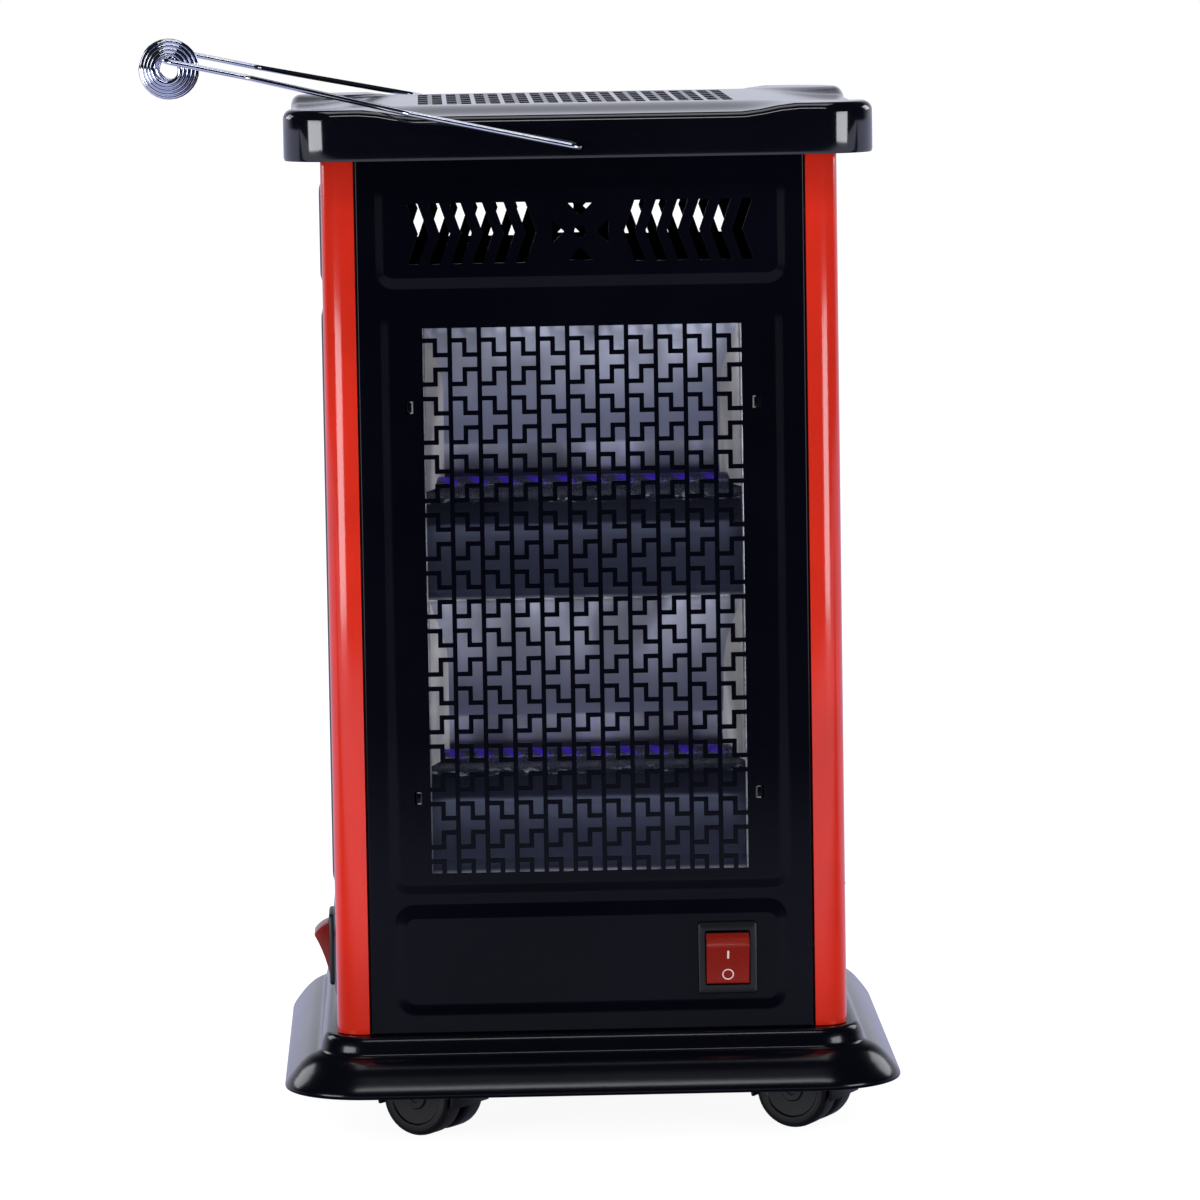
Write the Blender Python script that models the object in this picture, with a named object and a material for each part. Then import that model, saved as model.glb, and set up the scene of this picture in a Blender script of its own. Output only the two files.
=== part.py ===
"""A five-sided quartz heater: a square column on four castors, with a folding wire handle.

Metres, +Z up, the front towards -Y. The origin is the centre of the base deck's underside,
the plane that the castors are fitted to. Every side is the front's, turned about Z.
"""

import math
from dataclasses import dataclass

import bmesh
import bpy
from mathutils import Matrix, Vector

# Clearance between two pieces that touch, and between a piece and one that moves beside it
SEAT_GAP = 0.0003
# Radial clearance of a bore that turns on a pin
RUNNING_GAP = 0.00015

# Base pan: deck, flared skirt and the bosses that hold the castor stems
DECK_THICKNESS = 0.0035
DECK_HALF_WIDTH = 0.113
DECK_CORNER_RADIUS = 0.018
SKIRT_DEPTH = 0.024
SKIRT_FLARE = 0.0195
SKIRT_WALL = 0.002
RIM_CORNER_RADIUS = 0.036
BOSS_WALL = 0.004
BOSS_HEIGHT = 0.008
# Bead round the flat middle of the deck's underside: share of the deck's width, and depth
UNDERSIDE_BEAD = ((0.512, 0.0), (0.506, 0.0005), (0.5, 0.0))

# Column: corner posts and the sheet panels between them
BODY_HALF_WIDTH = 0.1095
BODY_HEIGHT = 0.374
POST_LEG = 0.014
POST_CORNER_RADIUS = 0.011
POST_WALL = 0.0018
POST_RETURN = 0.009
PANEL_SETBACK = 0.0005
SHEET = 0.001
PANEL_RETURN = 0.009
EMBOSS_HEIGHT = 0.0015
EMBOSS_CORNER_RADIUS = 0.009

# Embossed fields of a panel: height of the lower edge above the deck, height, margin to the panel's edge
LOWER_FIELD = (0.0086, 0.0459, 0.0122)
MIDDLE_FIELD = (0.061, 0.250, 0.0102)
VENT_FIELD = (0.320, 0.045, 0.0087)

# Grille of interlocking T-shaped holes
WINDOW_WIDTH = 0.137
WINDOW_HEIGHT = 0.235
WINDOW_BOTTOM = 0.0685
GRILLE_COLUMNS = 3
GRILLE_ROWS = 12
TOP_GRILLE_ROWS = 6
GRILLE_WEB = 0.006

# Vents over the grille: chevrons that point to a ring of four triangles
CHEVRONS_PER_SIDE = 6
CHEVRON_START = 0.073
CHEVRON_PITCH = 0.0091
CHEVRON_SLOT = 0.0044
CHEVRON_REACH = 0.0045
CHEVRON_HEIGHT = 0.0256
VENT_TRIANGLE_BASE = 0.010
VENT_TRIANGLE_DEPTH = 0.0052
VENT_TRIANGLE_OUTER = 0.012
VENT_EYE_RADIUS = 0.0025

# Top cover
COVER_HALF_WIDTH = 0.12475
COVER_HEIGHT = 0.0215
COVER_CORNER_RADIUS = 0.018
COVER_EDGE_RADIUS = 0.004
COVER_WALL = 0.002
COVER_DIP = 0.004
DIP_HALF_LENGTH = 0.080
DIP_RAMP = 0.015
PLATEAU_MARGIN = 0.0065

# Wire handle: it turns in the cover's front and rear skirts and ends in a wound grip
WIRE_RADIUS = 0.0012
PIVOT_HEIGHT = 0.0046
PIVOT_INSIDE = 0.0055
ARM_SIDE_GAP = 0.003
ARM_REACH = 0.073
SLANT_REACH = 0.070
GRIP_HALF_WIDTH = 0.080
GRIP_REACH = 0.1789
HANDLE_REST_DEG = 12.15
WIRE_BEND_RADIUS = 0.004
COIL_TURNS = 9
COIL_POINTS_PER_TURN = 10
COIL_LENGTH = 0.038
COIL_END_RADIUS = 0.0054
COIL_MIDDLE_RADIUS = 0.0126
COIL_EASE_RADIUS = 0.003

# Heating elements and their reflectors
TUBE_RADIUS = 0.006
TUBE_WALL = 0.001
TUBE_OVERHANG = 0.0035
TUBE_BACK_GAP = 0.003
TUBE_BELOW_CENTRE = 0.0135
REFLECTOR_SHEET = 0.0008
REFLECTOR_HALF_LENGTH = 0.0715
REFLECTOR_BACK = 0.0345
REFLECTOR_FLANGE = 0.003
REFLECTOR_RIDGE_DEPTH = 0.004
TROUGH_FLOOR = 0.016
TROUGH_BEND_RISE = 0.012
TROUGH_BEND_DEPTH = 0.005
HOLDER_THICKNESS = 0.0015
TOP_TROUGH_DEPTH = 0.034
TOP_TROUGH_FLOOR = 0.020
TOP_TROUGH_MOUTH = 0.136

# Heat shield between the elements and the wiring space
SHIELD_HEIGHT = 0.057
SHIELD_THICKNESS = 0.001

# Rocker switch
SWITCH_SIDE = 0.058
SWITCH_HEIGHT = 0.031
BEZEL_WIDTH = 0.0254
BEZEL_HEIGHT = 0.031
BEZEL_THICKNESS = 0.002
SWITCH_BODY_WIDTH = 0.022
SWITCH_BODY_HEIGHT = 0.028
SWITCH_BODY_DEPTH = 0.024
ROCKER_WIDTH = 0.0183
ROCKER_RADIUS = 0.01143
ROCKER_PIVOT_DEPTH = 0.0031
ROCKER_FACE_HALF_DEG = 53.3
ROCKER_TILT_DEG = 20.4
ROCKER_HOLLOW = 0.0007
ROCKER_PIN_RADIUS = 0.0014
ROCKER_PIN_REACH = 0.0012

# Castors
CASTOR_HEIGHT = 0.0425
CASTOR_INSET = 0.0295
CASTOR_TRAIL = 0.0133
CASTOR_YAW_DEG = {"front_left": -32.7, "front_right": -27.0, "rear_left": -38.0, "rear_right": -30.0}
WHEEL_RADIUS = 0.017
WHEEL_WIDTH = 0.012
WHEEL_EDGE = 0.0015
WHEEL_SIDES = 16
AXLE_RADIUS = 0.002
AXLE_END = 0.0006
WEB_THICKNESS = 0.0054
HOOD_WALL = 0.0013
HOOD_WHEEL_GAP = 0.0009
STEM_RADIUS = 0.005
STEM_ABOVE_DECK = 0.0075
COLLAR_RADIUS = 0.010
COLLAR_THICKNESS = 0.002

# Working parts in the wiring space
GLAND_SIDE = 0.050
GLAND_HEIGHT = 0.026
GLAND_BORE = 0.004
GLAND_NECK = 0.0062
GLAND_FLANGE = 0.009
GLAND_FLANGE_THICKNESS = 0.0025
GLAND_INNER_LENGTH = 0.006
BLOCK_SIZE = (0.044, 0.020, 0.016)
BLOCK_PLACE = (0.0, 0.035)
BLOCK_POLES = 3
BLOCK_WELL = (0.009, 0.012, 0.008)
TIP_SWITCH_SIZE = (0.022, 0.014, 0.028)
TIP_SWITCH_PLACE = (0.0, -0.030)
CUTOUT_RADIUS = 0.008
CUTOUT_HEIGHT = 0.007
CUTOUT_FLANGE_RADIUS = 0.012
CUTOUT_FLANGE = 0.0015

# Levels and planes that follow from the sizes above
DECK_TOP = DECK_THICKNESS
FLOOR = -CASTOR_HEIGHT
RIM_BOTTOM = DECK_TOP - SKIRT_DEPTH
COVER_BOTTOM = DECK_TOP + BODY_HEIGHT
COVER_TOP = COVER_BOTTOM + COVER_HEIGHT
PLATEAU_HALF_WIDTH = WINDOW_WIDTH / 2 + PLATEAU_MARGIN
CEILING = COVER_TOP - COVER_WALL
PANEL_FACE = BODY_HALF_WIDTH - PANEL_SETBACK
PANEL_HALF_WIDTH = BODY_HALF_WIDTH - POST_LEG - SEAT_GAP
PANEL_BACK = PANEL_FACE - SHEET
FIELD_FACE = PANEL_FACE + EMBOSS_HEIGHT
FIELD_BACK = FIELD_FACE - SHEET
BEZEL_FACE = FIELD_FACE + SEAT_GAP + BEZEL_THICKNESS
SWITCH_LEVEL = DECK_TOP + SWITCH_HEIGHT
CASTOR_PLACE = BODY_HALF_WIDTH - CASTOR_INSET
AXLE_LEVEL = FLOOR + WHEEL_RADIUS * math.cos(math.pi / WHEEL_SIDES)
PIVOT_LEVEL = COVER_BOTTOM + PIVOT_HEIGHT
ARM_SIDE = COVER_HALF_WIDTH + ARM_SIDE_GAP + WIRE_RADIUS
FLANGE_FACE = FIELD_BACK - SEAT_GAP
TROUGH_BACK = FIELD_FACE - REFLECTOR_BACK - SEAT_GAP
TUBE_AXIS = TROUGH_BACK + REFLECTOR_SHEET + TUBE_BACK_GAP + TUBE_RADIUS
TUBE_HALF_LENGTH = REFLECTOR_HALF_LENGTH + SEAT_GAP + HOLDER_THICKNESS + TUBE_OVERHANG
TROUGH_HEIGHT = WINDOW_HEIGHT / 2
TOP_TROUGH_LEVEL = CEILING - SEAT_GAP - TOP_TROUGH_DEPTH
TOP_TUBE_LEVEL = TOP_TROUGH_LEVEL + REFLECTOR_SHEET + TUBE_BACK_GAP + TUBE_RADIUS

# Each side of the column and its turn about Z
SIDES = {"front": 0.0, "left": -90.0, "rear": 180.0, "right": 90.0}
CORNERS = {"front_left": (-1, -1), "front_right": (1, -1), "rear_left": (-1, 1), "rear_right": (1, 1)}


@dataclass(frozen=True)
class Finish:
    """A material's colour, roughness and metallic value."""

    color: tuple
    roughness: float
    metallic: float = 0.0
    alpha: float = 1.0


FINISHES = {
    "black_enamel": Finish((0.006, 0.007, 0.011), 0.12),
    "red_enamel": Finish((0.72, 0.024, 0.012), 0.14),
    "black_plastic": Finish((0.012, 0.012, 0.014), 0.38),
    "pan_plastic": Finish((0.008, 0.009, 0.012), 0.16),
    "red_plastic": Finish((0.46, 0.012, 0.006), 0.25),
    "chrome": Finish((0.80, 0.81, 0.84), 0.06, 1.0),
    "bright_aluminium": Finish((0.78, 0.79, 0.80), 0.22, 1.0),
    "quartz": Finish((0.62, 0.60, 0.66), 0.08, 0.0, 0.45),
    "ceramic": Finish((0.80, 0.77, 0.68), 0.55),
    "zinc_steel": Finish((0.55, 0.56, 0.57), 0.35, 1.0),
    "wheel_nylon": Finish((0.014, 0.014, 0.017), 0.45),
}


def clear_scene():
    """Removes every object that the scene starts with."""
    for item in list(bpy.data.objects):
        bpy.data.objects.remove(item, do_unlink=True)


def make_materials():
    """Makes one Principled material for each finish."""
    made = {}
    for name, finish in FINISHES.items():
        material = bpy.data.materials.new(name)
        material.use_nodes = True
        shader = material.node_tree.nodes["Principled BSDF"]
        shader.inputs["Base Color"].default_value = (*finish.color, 1.0)
        shader.inputs["Roughness"].default_value = finish.roughness
        shader.inputs["Metallic"].default_value = finish.metallic
        shader.inputs["Alpha"].default_value = finish.alpha
        material.diffuse_color = (*finish.color, finish.alpha)
        made[name] = material
    return made


def add_object(name, data, material):
    """Puts a mesh or curve into the scene under this name, with its material."""
    data.materials.clear()
    data.materials.append(material)
    item = bpy.data.objects.new(name, data)
    bpy.context.scene.collection.objects.link(item)
    return item


def turn_about_z(item, degrees):
    item.rotation_euler.z = math.radians(degrees)
    return item


def finish_mesh(name, bm):
    """Points the faces outwards and shades the round ones smooth."""
    bmesh.ops.recalc_face_normals(bm, faces=bm.faces)
    mesh = bpy.data.meshes.new(name)
    bm.to_mesh(mesh)
    bm.free()
    mesh.shade_smooth()
    mesh.set_sharp_from_angle(angle=math.radians(35))
    return mesh


def ring_mesh(name, rings, closed=False):
    """A skin over rings of equal length. It is capped at both ends, or closed into a loop."""
    bm = bmesh.new()
    loops = [[bm.verts.new(point) for point in ring] for ring in rings]
    pairs = list(zip(loops, loops[1:]))
    if closed:
        pairs.append((loops[-1], loops[0]))
    for low, high in pairs:
        for i in range(len(low)):
            j = (i + 1) % len(low)
            bm.faces.new((low[i], low[j], high[j], high[i]))
    if not closed:
        bm.faces.new(loops[0])
        bm.faces.new(loops[-1])
    return finish_mesh(name, bm)


def place(axis, first, second, along):
    """A point given by two coordinates across an axis and one along it."""
    if axis == "X":
        return Vector((along, first, second))
    if axis == "Y":
        return Vector((first, along, second))
    return Vector((first, second, along))


def prism_mesh(name, outline, axis, start, end):
    """An outline, in the two coordinates across the axis, extruded from start to end."""
    return ring_mesh(name, [[place(axis, u, v, at) for u, v in outline] for at in (start, end)])


def circle(radius, sides, centre=(0.0, 0.0), phase=0.5):
    """A regular outline. A phase of 0.5 puts a flat side at the bottom."""
    step = 2 * math.pi / sides
    return [
        (
            centre[0] + radius * math.sin((i + phase) * step),
            centre[1] - radius * math.cos((i + phase) * step),
        )
        for i in range(sides)
    ]


def arc(centre, radius, start_deg, end_deg, steps):
    """Points on an arc, both ends included."""
    points = []
    for i in range(steps + 1):
        angle = math.radians(start_deg + (end_deg - start_deg) * i / steps)
        points.append((centre[0] + radius * math.cos(angle), centre[1] + radius * math.sin(angle)))
    return points


def rectangle(low_u, high_u, low_v, high_v):
    return [(low_u, low_v), (high_u, low_v), (high_u, high_v), (low_u, high_v)]


def rounded_rectangle(low_u, high_u, low_v, high_v, radius, steps=2):
    """A rectangle with round corners, anticlockwise."""
    outline = []
    corners = ((high_u, high_v, 0), (low_u, high_v, 90), (low_u, low_v, 180), (high_u, low_v, 270))
    for u, v, angle in corners:
        centre = (
            u - math.copysign(radius, u - (low_u + high_u) / 2),
            v - math.copysign(radius, v - (low_v + high_v) / 2),
        )
        outline += arc(centre, radius, angle, angle + 90, steps)
    return outline


def joined(name, meshes):
    """One mesh that holds the given ones, which are then removed."""
    bm = bmesh.new()
    for mesh in meshes:
        bm.from_mesh(mesh)
        bpy.data.meshes.remove(mesh)
    mesh = bpy.data.meshes.new(name)
    bm.to_mesh(mesh)
    bm.free()
    return mesh


def combine(item, mesh, operation):
    """Adds a Boolean modifier that joins the mesh to the object or cuts it out."""
    helper = bpy.data.objects.new(f"{item.name}_{mesh.name}", mesh)
    bpy.context.scene.collection.objects.link(helper)
    helper.hide_render = True
    helper.display_type = "WIRE"
    modifier = item.modifiers.new(mesh.name, "BOOLEAN")
    modifier.operation = operation
    modifier.object = helper
    return helper


def settle(item):
    """Applies the object's modifiers and removes their helpers, so that copies can share the mesh."""
    helpers = [modifier.object for modifier in item.modifiers]
    graph = bpy.context.evaluated_depsgraph_get()
    mesh = bpy.data.meshes.new_from_object(item.evaluated_get(graph))
    item.modifiers.clear()
    item.data = mesh
    mesh.shade_smooth()
    mesh.set_sharp_from_angle(angle=math.radians(35))
    for helper in helpers:
        bpy.data.objects.remove(helper, do_unlink=True)
    return mesh


def grille_outlines(width, height, columns, rows, web):
    """Outlines of interlocking T-shaped holes, centred across and measured down from zero.

    Each column is two cells wide. Bars of three cells stand in its left and right half by turns,
    each with a stem of one cell into the other half. The first and last are cut by the edge.
    """
    cell_width = width / (2 * columns)
    cell_height = height / rows
    inset = web / 2
    outlines = []
    for column in range(columns):
        left = -width / 2 + 2 * column * cell_width
        for row in range(0, rows + 1, 2):
            bar_on_left = row % 4 == 2
            first = max(row - 1, 0)
            last = min(row + 1, rows - 1)
            top = -first * cell_height - inset
            bottom = -(last + 1) * cell_height + inset
            near = left + inset if bar_on_left else left + 2 * cell_width - inset
            across = 1 if bar_on_left else -1
            far = near + across * (cell_width - web)
            outline = [(near, bottom), (far, bottom)]
            if row < rows:
                tip = near + across * (2 * cell_width - web)
                stem_top = -row * cell_height - inset
                stem_bottom = -(row + 1) * cell_height + inset
                if last > row:
                    outline += [(far, stem_bottom), (tip, stem_bottom)]
                else:
                    outline[1] = (tip, bottom)
                outline.append((tip, stem_top))
                if first < row:
                    outline += [(far, stem_top), (far, top)]
            else:
                outline.append((far, top))
            outline.append((near, top))
            outlines.append(outline)
    return outlines


def vent_outlines():
    """Outlines of the chevrons and of the eye and triangles between them, centred on zero."""
    half = CHEVRON_HEIGHT / 2
    outlines = []
    for side in (-1, 1):
        for i in range(CHEVRONS_PER_SIDE):
            outer = CHEVRON_START - i * CHEVRON_PITCH
            inner = outer - CHEVRON_SLOT
            chevron = [
                (outer, half),
                (inner, half),
                (inner - CHEVRON_REACH, 0.0),
                (inner, -half),
                (outer, -half),
                (outer - CHEVRON_REACH, 0.0),
            ]
            outlines.append([(side * u, v) for u, v in chevron])
    inner = VENT_TRIANGLE_OUTER - VENT_TRIANGLE_DEPTH
    triangle = [
        (VENT_TRIANGLE_OUTER, -VENT_TRIANGLE_BASE / 2),
        (VENT_TRIANGLE_OUTER, VENT_TRIANGLE_BASE / 2),
        (inner, 0.0),
    ]
    for quarter in range(4):
        turn = Matrix.Rotation(quarter * math.pi / 2, 2)
        outlines.append([tuple(turn @ Vector(point)) for point in triangle])
    outlines.append(circle(VENT_EYE_RADIUS, 8))
    return outlines


def skirt_profile():
    """Half width and height of the base pan's outer skin, from the deck's edge down to the rim."""
    shares = [
        (0.00, 1.00),
        (0.05, 0.965),
        (0.13, 0.85),
        (0.19, 0.70),
        (0.21, 0.655),
        (0.32, 0.635),
        (0.47, 0.575),
        (0.66, 0.435),
        (0.83, 0.27),
        (0.95, 0.135),
        (1.00, 0.07),
        (0.97, 0.015),
        (0.93, 0.00),
    ]
    return [
        (DECK_HALF_WIDTH + flare * SKIRT_FLARE, RIM_BOTTOM + rise * SKIRT_DEPTH)
        for flare, rise in shares
    ]


def pan_ring(half_width, level):
    """A ring of the base pan. Its corner radius grows with its width, from deck to rim."""
    share = (half_width - DECK_HALF_WIDTH) / SKIRT_FLARE
    radius = DECK_CORNER_RADIUS + share * (RIM_CORNER_RADIUS - DECK_CORNER_RADIUS)
    outline = rounded_rectangle(-half_width, half_width, -half_width, half_width, radius, 4)
    return [Vector((x, y, level)) for x, y in outline]


def castor_places():
    return {name: (sx * CASTOR_PLACE, sy * CASTOR_PLACE) for name, (sx, sy) in CORNERS.items()}


def build_base_pan(materials):
    """The deck and its flared skirt, with a bored boss over each castor stem."""
    outer = skirt_profile()
    rings = [pan_ring(half_width, level) for half_width, level in outer]
    inner_levels = [outer[-1][1], outer[9][1], outer[8][1], outer[7][1], outer[6][1]]
    inner_widths = [outer[-1][0], outer[9][0], outer[8][0], outer[7][0], outer[6][0]]
    for half_width, level in zip(inner_widths, inner_levels):
        rings.append(pan_ring(half_width - SKIRT_WALL, level))
    rings.append(pan_ring(DECK_HALF_WIDTH - SKIRT_WALL / 2, 0.0))
    underside = rings[-1]
    for share, depth in UNDERSIDE_BEAD:
        rings.append([point * share + Vector((0, 0, depth)) for point in underside])
    pan = add_object("base_pan", ring_mesh("base_pan", rings), materials["pan_plastic"])
    bore = STEM_RADIUS + RUNNING_GAP * 2
    top = DECK_TOP + BOSS_HEIGHT
    sides = WHEEL_SIDES
    bosses = [
        prism_mesh("boss", circle(bore + BOSS_WALL, sides, spot), "Z", DECK_TOP / 2, top)
        for spot in castor_places().values()
    ]
    bores = [
        prism_mesh("bore", circle(bore, sides, spot), "Z", -DECK_THICKNESS, top + DECK_THICKNESS)
        for spot in castor_places().values()
    ]
    combine(pan, joined("bosses", bosses), "UNION")
    combine(pan, joined("bores", bores), "DIFFERENCE")
    settle(pan)


def build_posts(materials):
    """A channel with a round outer corner at each corner of the column."""
    outside = BODY_HALF_WIDTH
    edge = outside - POST_LEG
    inside = outside - POST_WALL
    deep = outside - POST_RETURN
    centre = (outside - POST_CORNER_RADIUS, outside - POST_CORNER_RADIUS)
    outline = [(outside, edge)]
    outline += arc(centre, POST_CORNER_RADIUS, 0, 90, 6)
    outline += [(edge, outside), (edge, deep), (edge + POST_WALL, deep), (edge + POST_WALL, inside)]
    outline += arc(centre, POST_CORNER_RADIUS - POST_WALL, 90, 0, 6)
    outline += [(inside, edge + POST_WALL), (deep, edge + POST_WALL), (deep, edge)]
    top = CEILING - SEAT_GAP
    mesh = prism_mesh("corner_post", outline, "Z", DECK_TOP + SEAT_GAP, top)
    turns = {"rear_right": 0.0, "rear_left": 90.0, "front_left": 180.0, "front_right": -90.0}
    for name, turn in turns.items():
        turn_about_z(add_object(f"corner_post_{name}", mesh, materials["red_enamel"]), turn)


def field_box(field):
    """Half width and lower and upper level of an embossed field."""
    bottom, height, margin = field
    return PANEL_HALF_WIDTH - margin, DECK_TOP + bottom, DECK_TOP + bottom + height


def field_pad(name, field, faces, growths):
    """A tapered pad over a field, between two planes, with its outline grown at each."""
    half_width, low, high = field_box(field)
    rings = []
    for face, growth in zip(faces, growths):
        outline = rounded_rectangle(
            -half_width - growth,
            half_width + growth,
            low - growth,
            high + growth,
            EMBOSS_CORNER_RADIUS + growth,
        )
        rings.append([Vector((u, -face, v)) for u, v in outline])
    return ring_mesh(name, rings)


def cover_dip(x, y):
    """How far the cover's top lies below its plateau at a point."""
    out = max(abs(x), abs(y))
    along = min(abs(x), abs(y))
    edge = COVER_HALF_WIDTH - COVER_EDGE_RADIUS
    slope = min(max((out - PLATEAU_HALF_WIDTH) / (edge - PLATEAU_HALF_WIDTH), 0.0), 1.0)
    ramp = min(max((DIP_HALF_LENGTH + DIP_RAMP / 2 - along) / DIP_RAMP, 0.0), 1.0)
    return COVER_DIP * slope * ramp * ramp * (3 - 2 * ramp)


def build_panels(materials):
    """The four side panels. Each is a folded sheet with three embossed fields."""
    half = PANEL_HALF_WIDTH
    fold = SHEET
    back = PANEL_FACE - PANEL_RETURN
    outline = [(-half, -back)]
    outline += arc((-half + fold, -PANEL_FACE + fold), fold, 180, 270, 2)
    outline += arc((half - fold, -PANEL_FACE + fold), fold, 270, 360, 2)
    outline += [(half, -back), (half - SHEET, -back), (half - SHEET, -PANEL_BACK)]
    outline += [(-half + SHEET, -PANEL_BACK), (-half + SHEET, -back)]
    top = CEILING - cover_dip(0.0, FIELD_FACE) - SEAT_GAP
    panel = add_object(
        "front_panel",
        prism_mesh("panel", outline, "Z", DECK_TOP + SEAT_GAP, top),
        materials["black_enamel"],
    )
    slope = SHEET * math.sqrt(2) - SHEET
    fields = (LOWER_FIELD, MIDDLE_FIELD, VENT_FIELD)
    raised = [
        field_pad("raised", field, (PANEL_FACE - SHEET / 2, FIELD_FACE), (SHEET / 2, -EMBOSS_HEIGHT))
        for field in fields
    ]
    pressed = [
        field_pad(
            "pressed",
            field,
            (PANEL_BACK - SHEET / 2, FIELD_BACK),
            (SHEET / 2 - slope, -EMBOSS_HEIGHT - slope),
        )
        for field in fields
    ]
    combine(panel, joined("raised", raised), "UNION")
    combine(panel, joined("pressed", pressed), "DIFFERENCE")
    holes = []
    grille_top = DECK_TOP + WINDOW_BOTTOM + WINDOW_HEIGHT
    for shape in grille_outlines(
        WINDOW_WIDTH, WINDOW_HEIGHT, GRILLE_COLUMNS, GRILLE_ROWS, GRILLE_WEB
    ):
        holes.append([(u, grille_top + v) for u, v in shape])
    vent_half, vent_low, vent_high = field_box(VENT_FIELD)
    for shape in vent_outlines():
        holes.append([(u, (vent_low + vent_high) / 2 + v) for u, v in shape])
    across = SWITCH_BODY_WIDTH / 2 + SEAT_GAP
    up = SWITCH_BODY_HEIGHT / 2 + SEAT_GAP
    holes.append(
        rectangle(
            SWITCH_SIDE - across, SWITCH_SIDE + across, SWITCH_LEVEL - up, SWITCH_LEVEL + up
        )
    )
    outer = -FIELD_FACE - SHEET
    inner = -PANEL_BACK + SHEET
    cutters = [prism_mesh("hole", shape, "Y", outer, inner) for shape in holes]
    combine(panel, joined("holes", cutters), "DIFFERENCE")
    shared = settle(panel)
    for side, turn in SIDES.items():
        if side == "front":
            continue
        copy = turn_about_z(add_object(f"{side}_panel", shared, materials["black_enamel"]), turn)
        if side == "rear":
            spot = (GLAND_SIDE, DECK_TOP + GLAND_HEIGHT)
            neck = circle(GLAND_NECK + SEAT_GAP, 12, spot)
            copy.data = shared.copy()
            combine(copy, prism_mesh("cord_hole", neck, "Y", -outer, -inner), "DIFFERENCE")


def cover_ring(half_width, level, drop=0.0):
    """A ring of the cover, with extra points where each side's dip begins and ends."""
    share = (half_width - PLATEAU_HALF_WIDTH) / (COVER_HALF_WIDTH - PLATEAU_HALF_WIDTH)
    radius = COVER_CORNER_RADIUS * max(share, 0.15)
    reach = (DIP_HALF_LENGTH + DIP_RAMP / 2 - PLATEAU_HALF_WIDTH) * share
    last = min(PLATEAU_HALF_WIDTH + reach, half_width - radius) - SEAT_GAP
    first = last - DIP_RAMP * (0.4 + 0.6 * share)
    stops = [-last, -(first + last) / 2, -first, first, (first + last) / 2, last]
    ring = []
    for quarter in range(4):
        turn = Matrix.Rotation(quarter * math.pi / 2, 2)
        line = [Vector((half_width, stop)) for stop in stops]
        centre = (half_width - radius, half_width - radius)
        line += [Vector(point) for point in arc(centre, radius, 0, 90, 4)]
        for point in line:
            x, y = turn @ point
            ring.append(Vector((x, y, level - drop * cover_dip(x, y) / COVER_DIP)))
    return ring


def build_cover(materials):
    """The top cover: a shallow cap with a grille, whose sides dip between raised corners."""
    edge = COVER_HALF_WIDTH - COVER_EDGE_RADIUS
    dip = COVER_DIP
    rings = [cover_ring(PLATEAU_HALF_WIDTH, COVER_TOP), cover_ring(edge, COVER_TOP, dip)]
    for out, down in arc((0.0, 0.0), COVER_EDGE_RADIUS, 60, 0, 2):
        rings.append(cover_ring(edge + out, COVER_TOP - COVER_EDGE_RADIUS + down, dip))
    rings.append(cover_ring(COVER_HALF_WIDTH, COVER_BOTTOM))
    inner = COVER_HALF_WIDTH - COVER_WALL
    rings.append(cover_ring(inner, COVER_BOTTOM))
    rings.append(cover_ring(inner, CEILING - COVER_EDGE_RADIUS / 2, dip))
    rings.append(cover_ring(edge, CEILING, dip))
    rings.append(cover_ring(PLATEAU_HALF_WIDTH, CEILING))
    cover = add_object("top_cover", ring_mesh("top_cover", rings), materials["black_enamel"])
    holes = []
    for shape in grille_outlines(
        WINDOW_WIDTH, WINDOW_WIDTH, GRILLE_COLUMNS, TOP_GRILLE_ROWS, GRILLE_WEB
    ):
        moved = [(u, v + WINDOW_WIDTH / 2) for u, v in shape]
        holes.append(prism_mesh("hole", moved, "Z", CEILING - COVER_WALL, COVER_TOP + COVER_WALL))
    pivot = circle(WIRE_RADIUS + RUNNING_GAP * 2, 12, (0.0, PIVOT_LEVEL))
    for side in (-1, 1):
        start = side * (COVER_HALF_WIDTH - 2 * COVER_WALL)
        end = side * (COVER_HALF_WIDTH + COVER_WALL)
        holes.append(prism_mesh("pivot", pivot, "Y", start, end))
    combine(cover, joined("holes", holes), "DIFFERENCE")
    settle(cover)


def bend_points(before, corner, after, radius, steps):
    """Points of a round bend that replaces a corner of a wire."""
    back = (before - corner).normalized()
    ahead = (after - corner).normalized()
    half_angle = back.angle(ahead) / 2
    reach = radius / math.tan(half_angle)
    middle = corner + (back + ahead).normalized() * (radius / math.sin(half_angle))
    first = corner + back * reach - middle
    last = corner + ahead * reach - middle
    return [middle + first.slerp(last, i / steps) * radius for i in range(steps + 1)]


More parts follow.
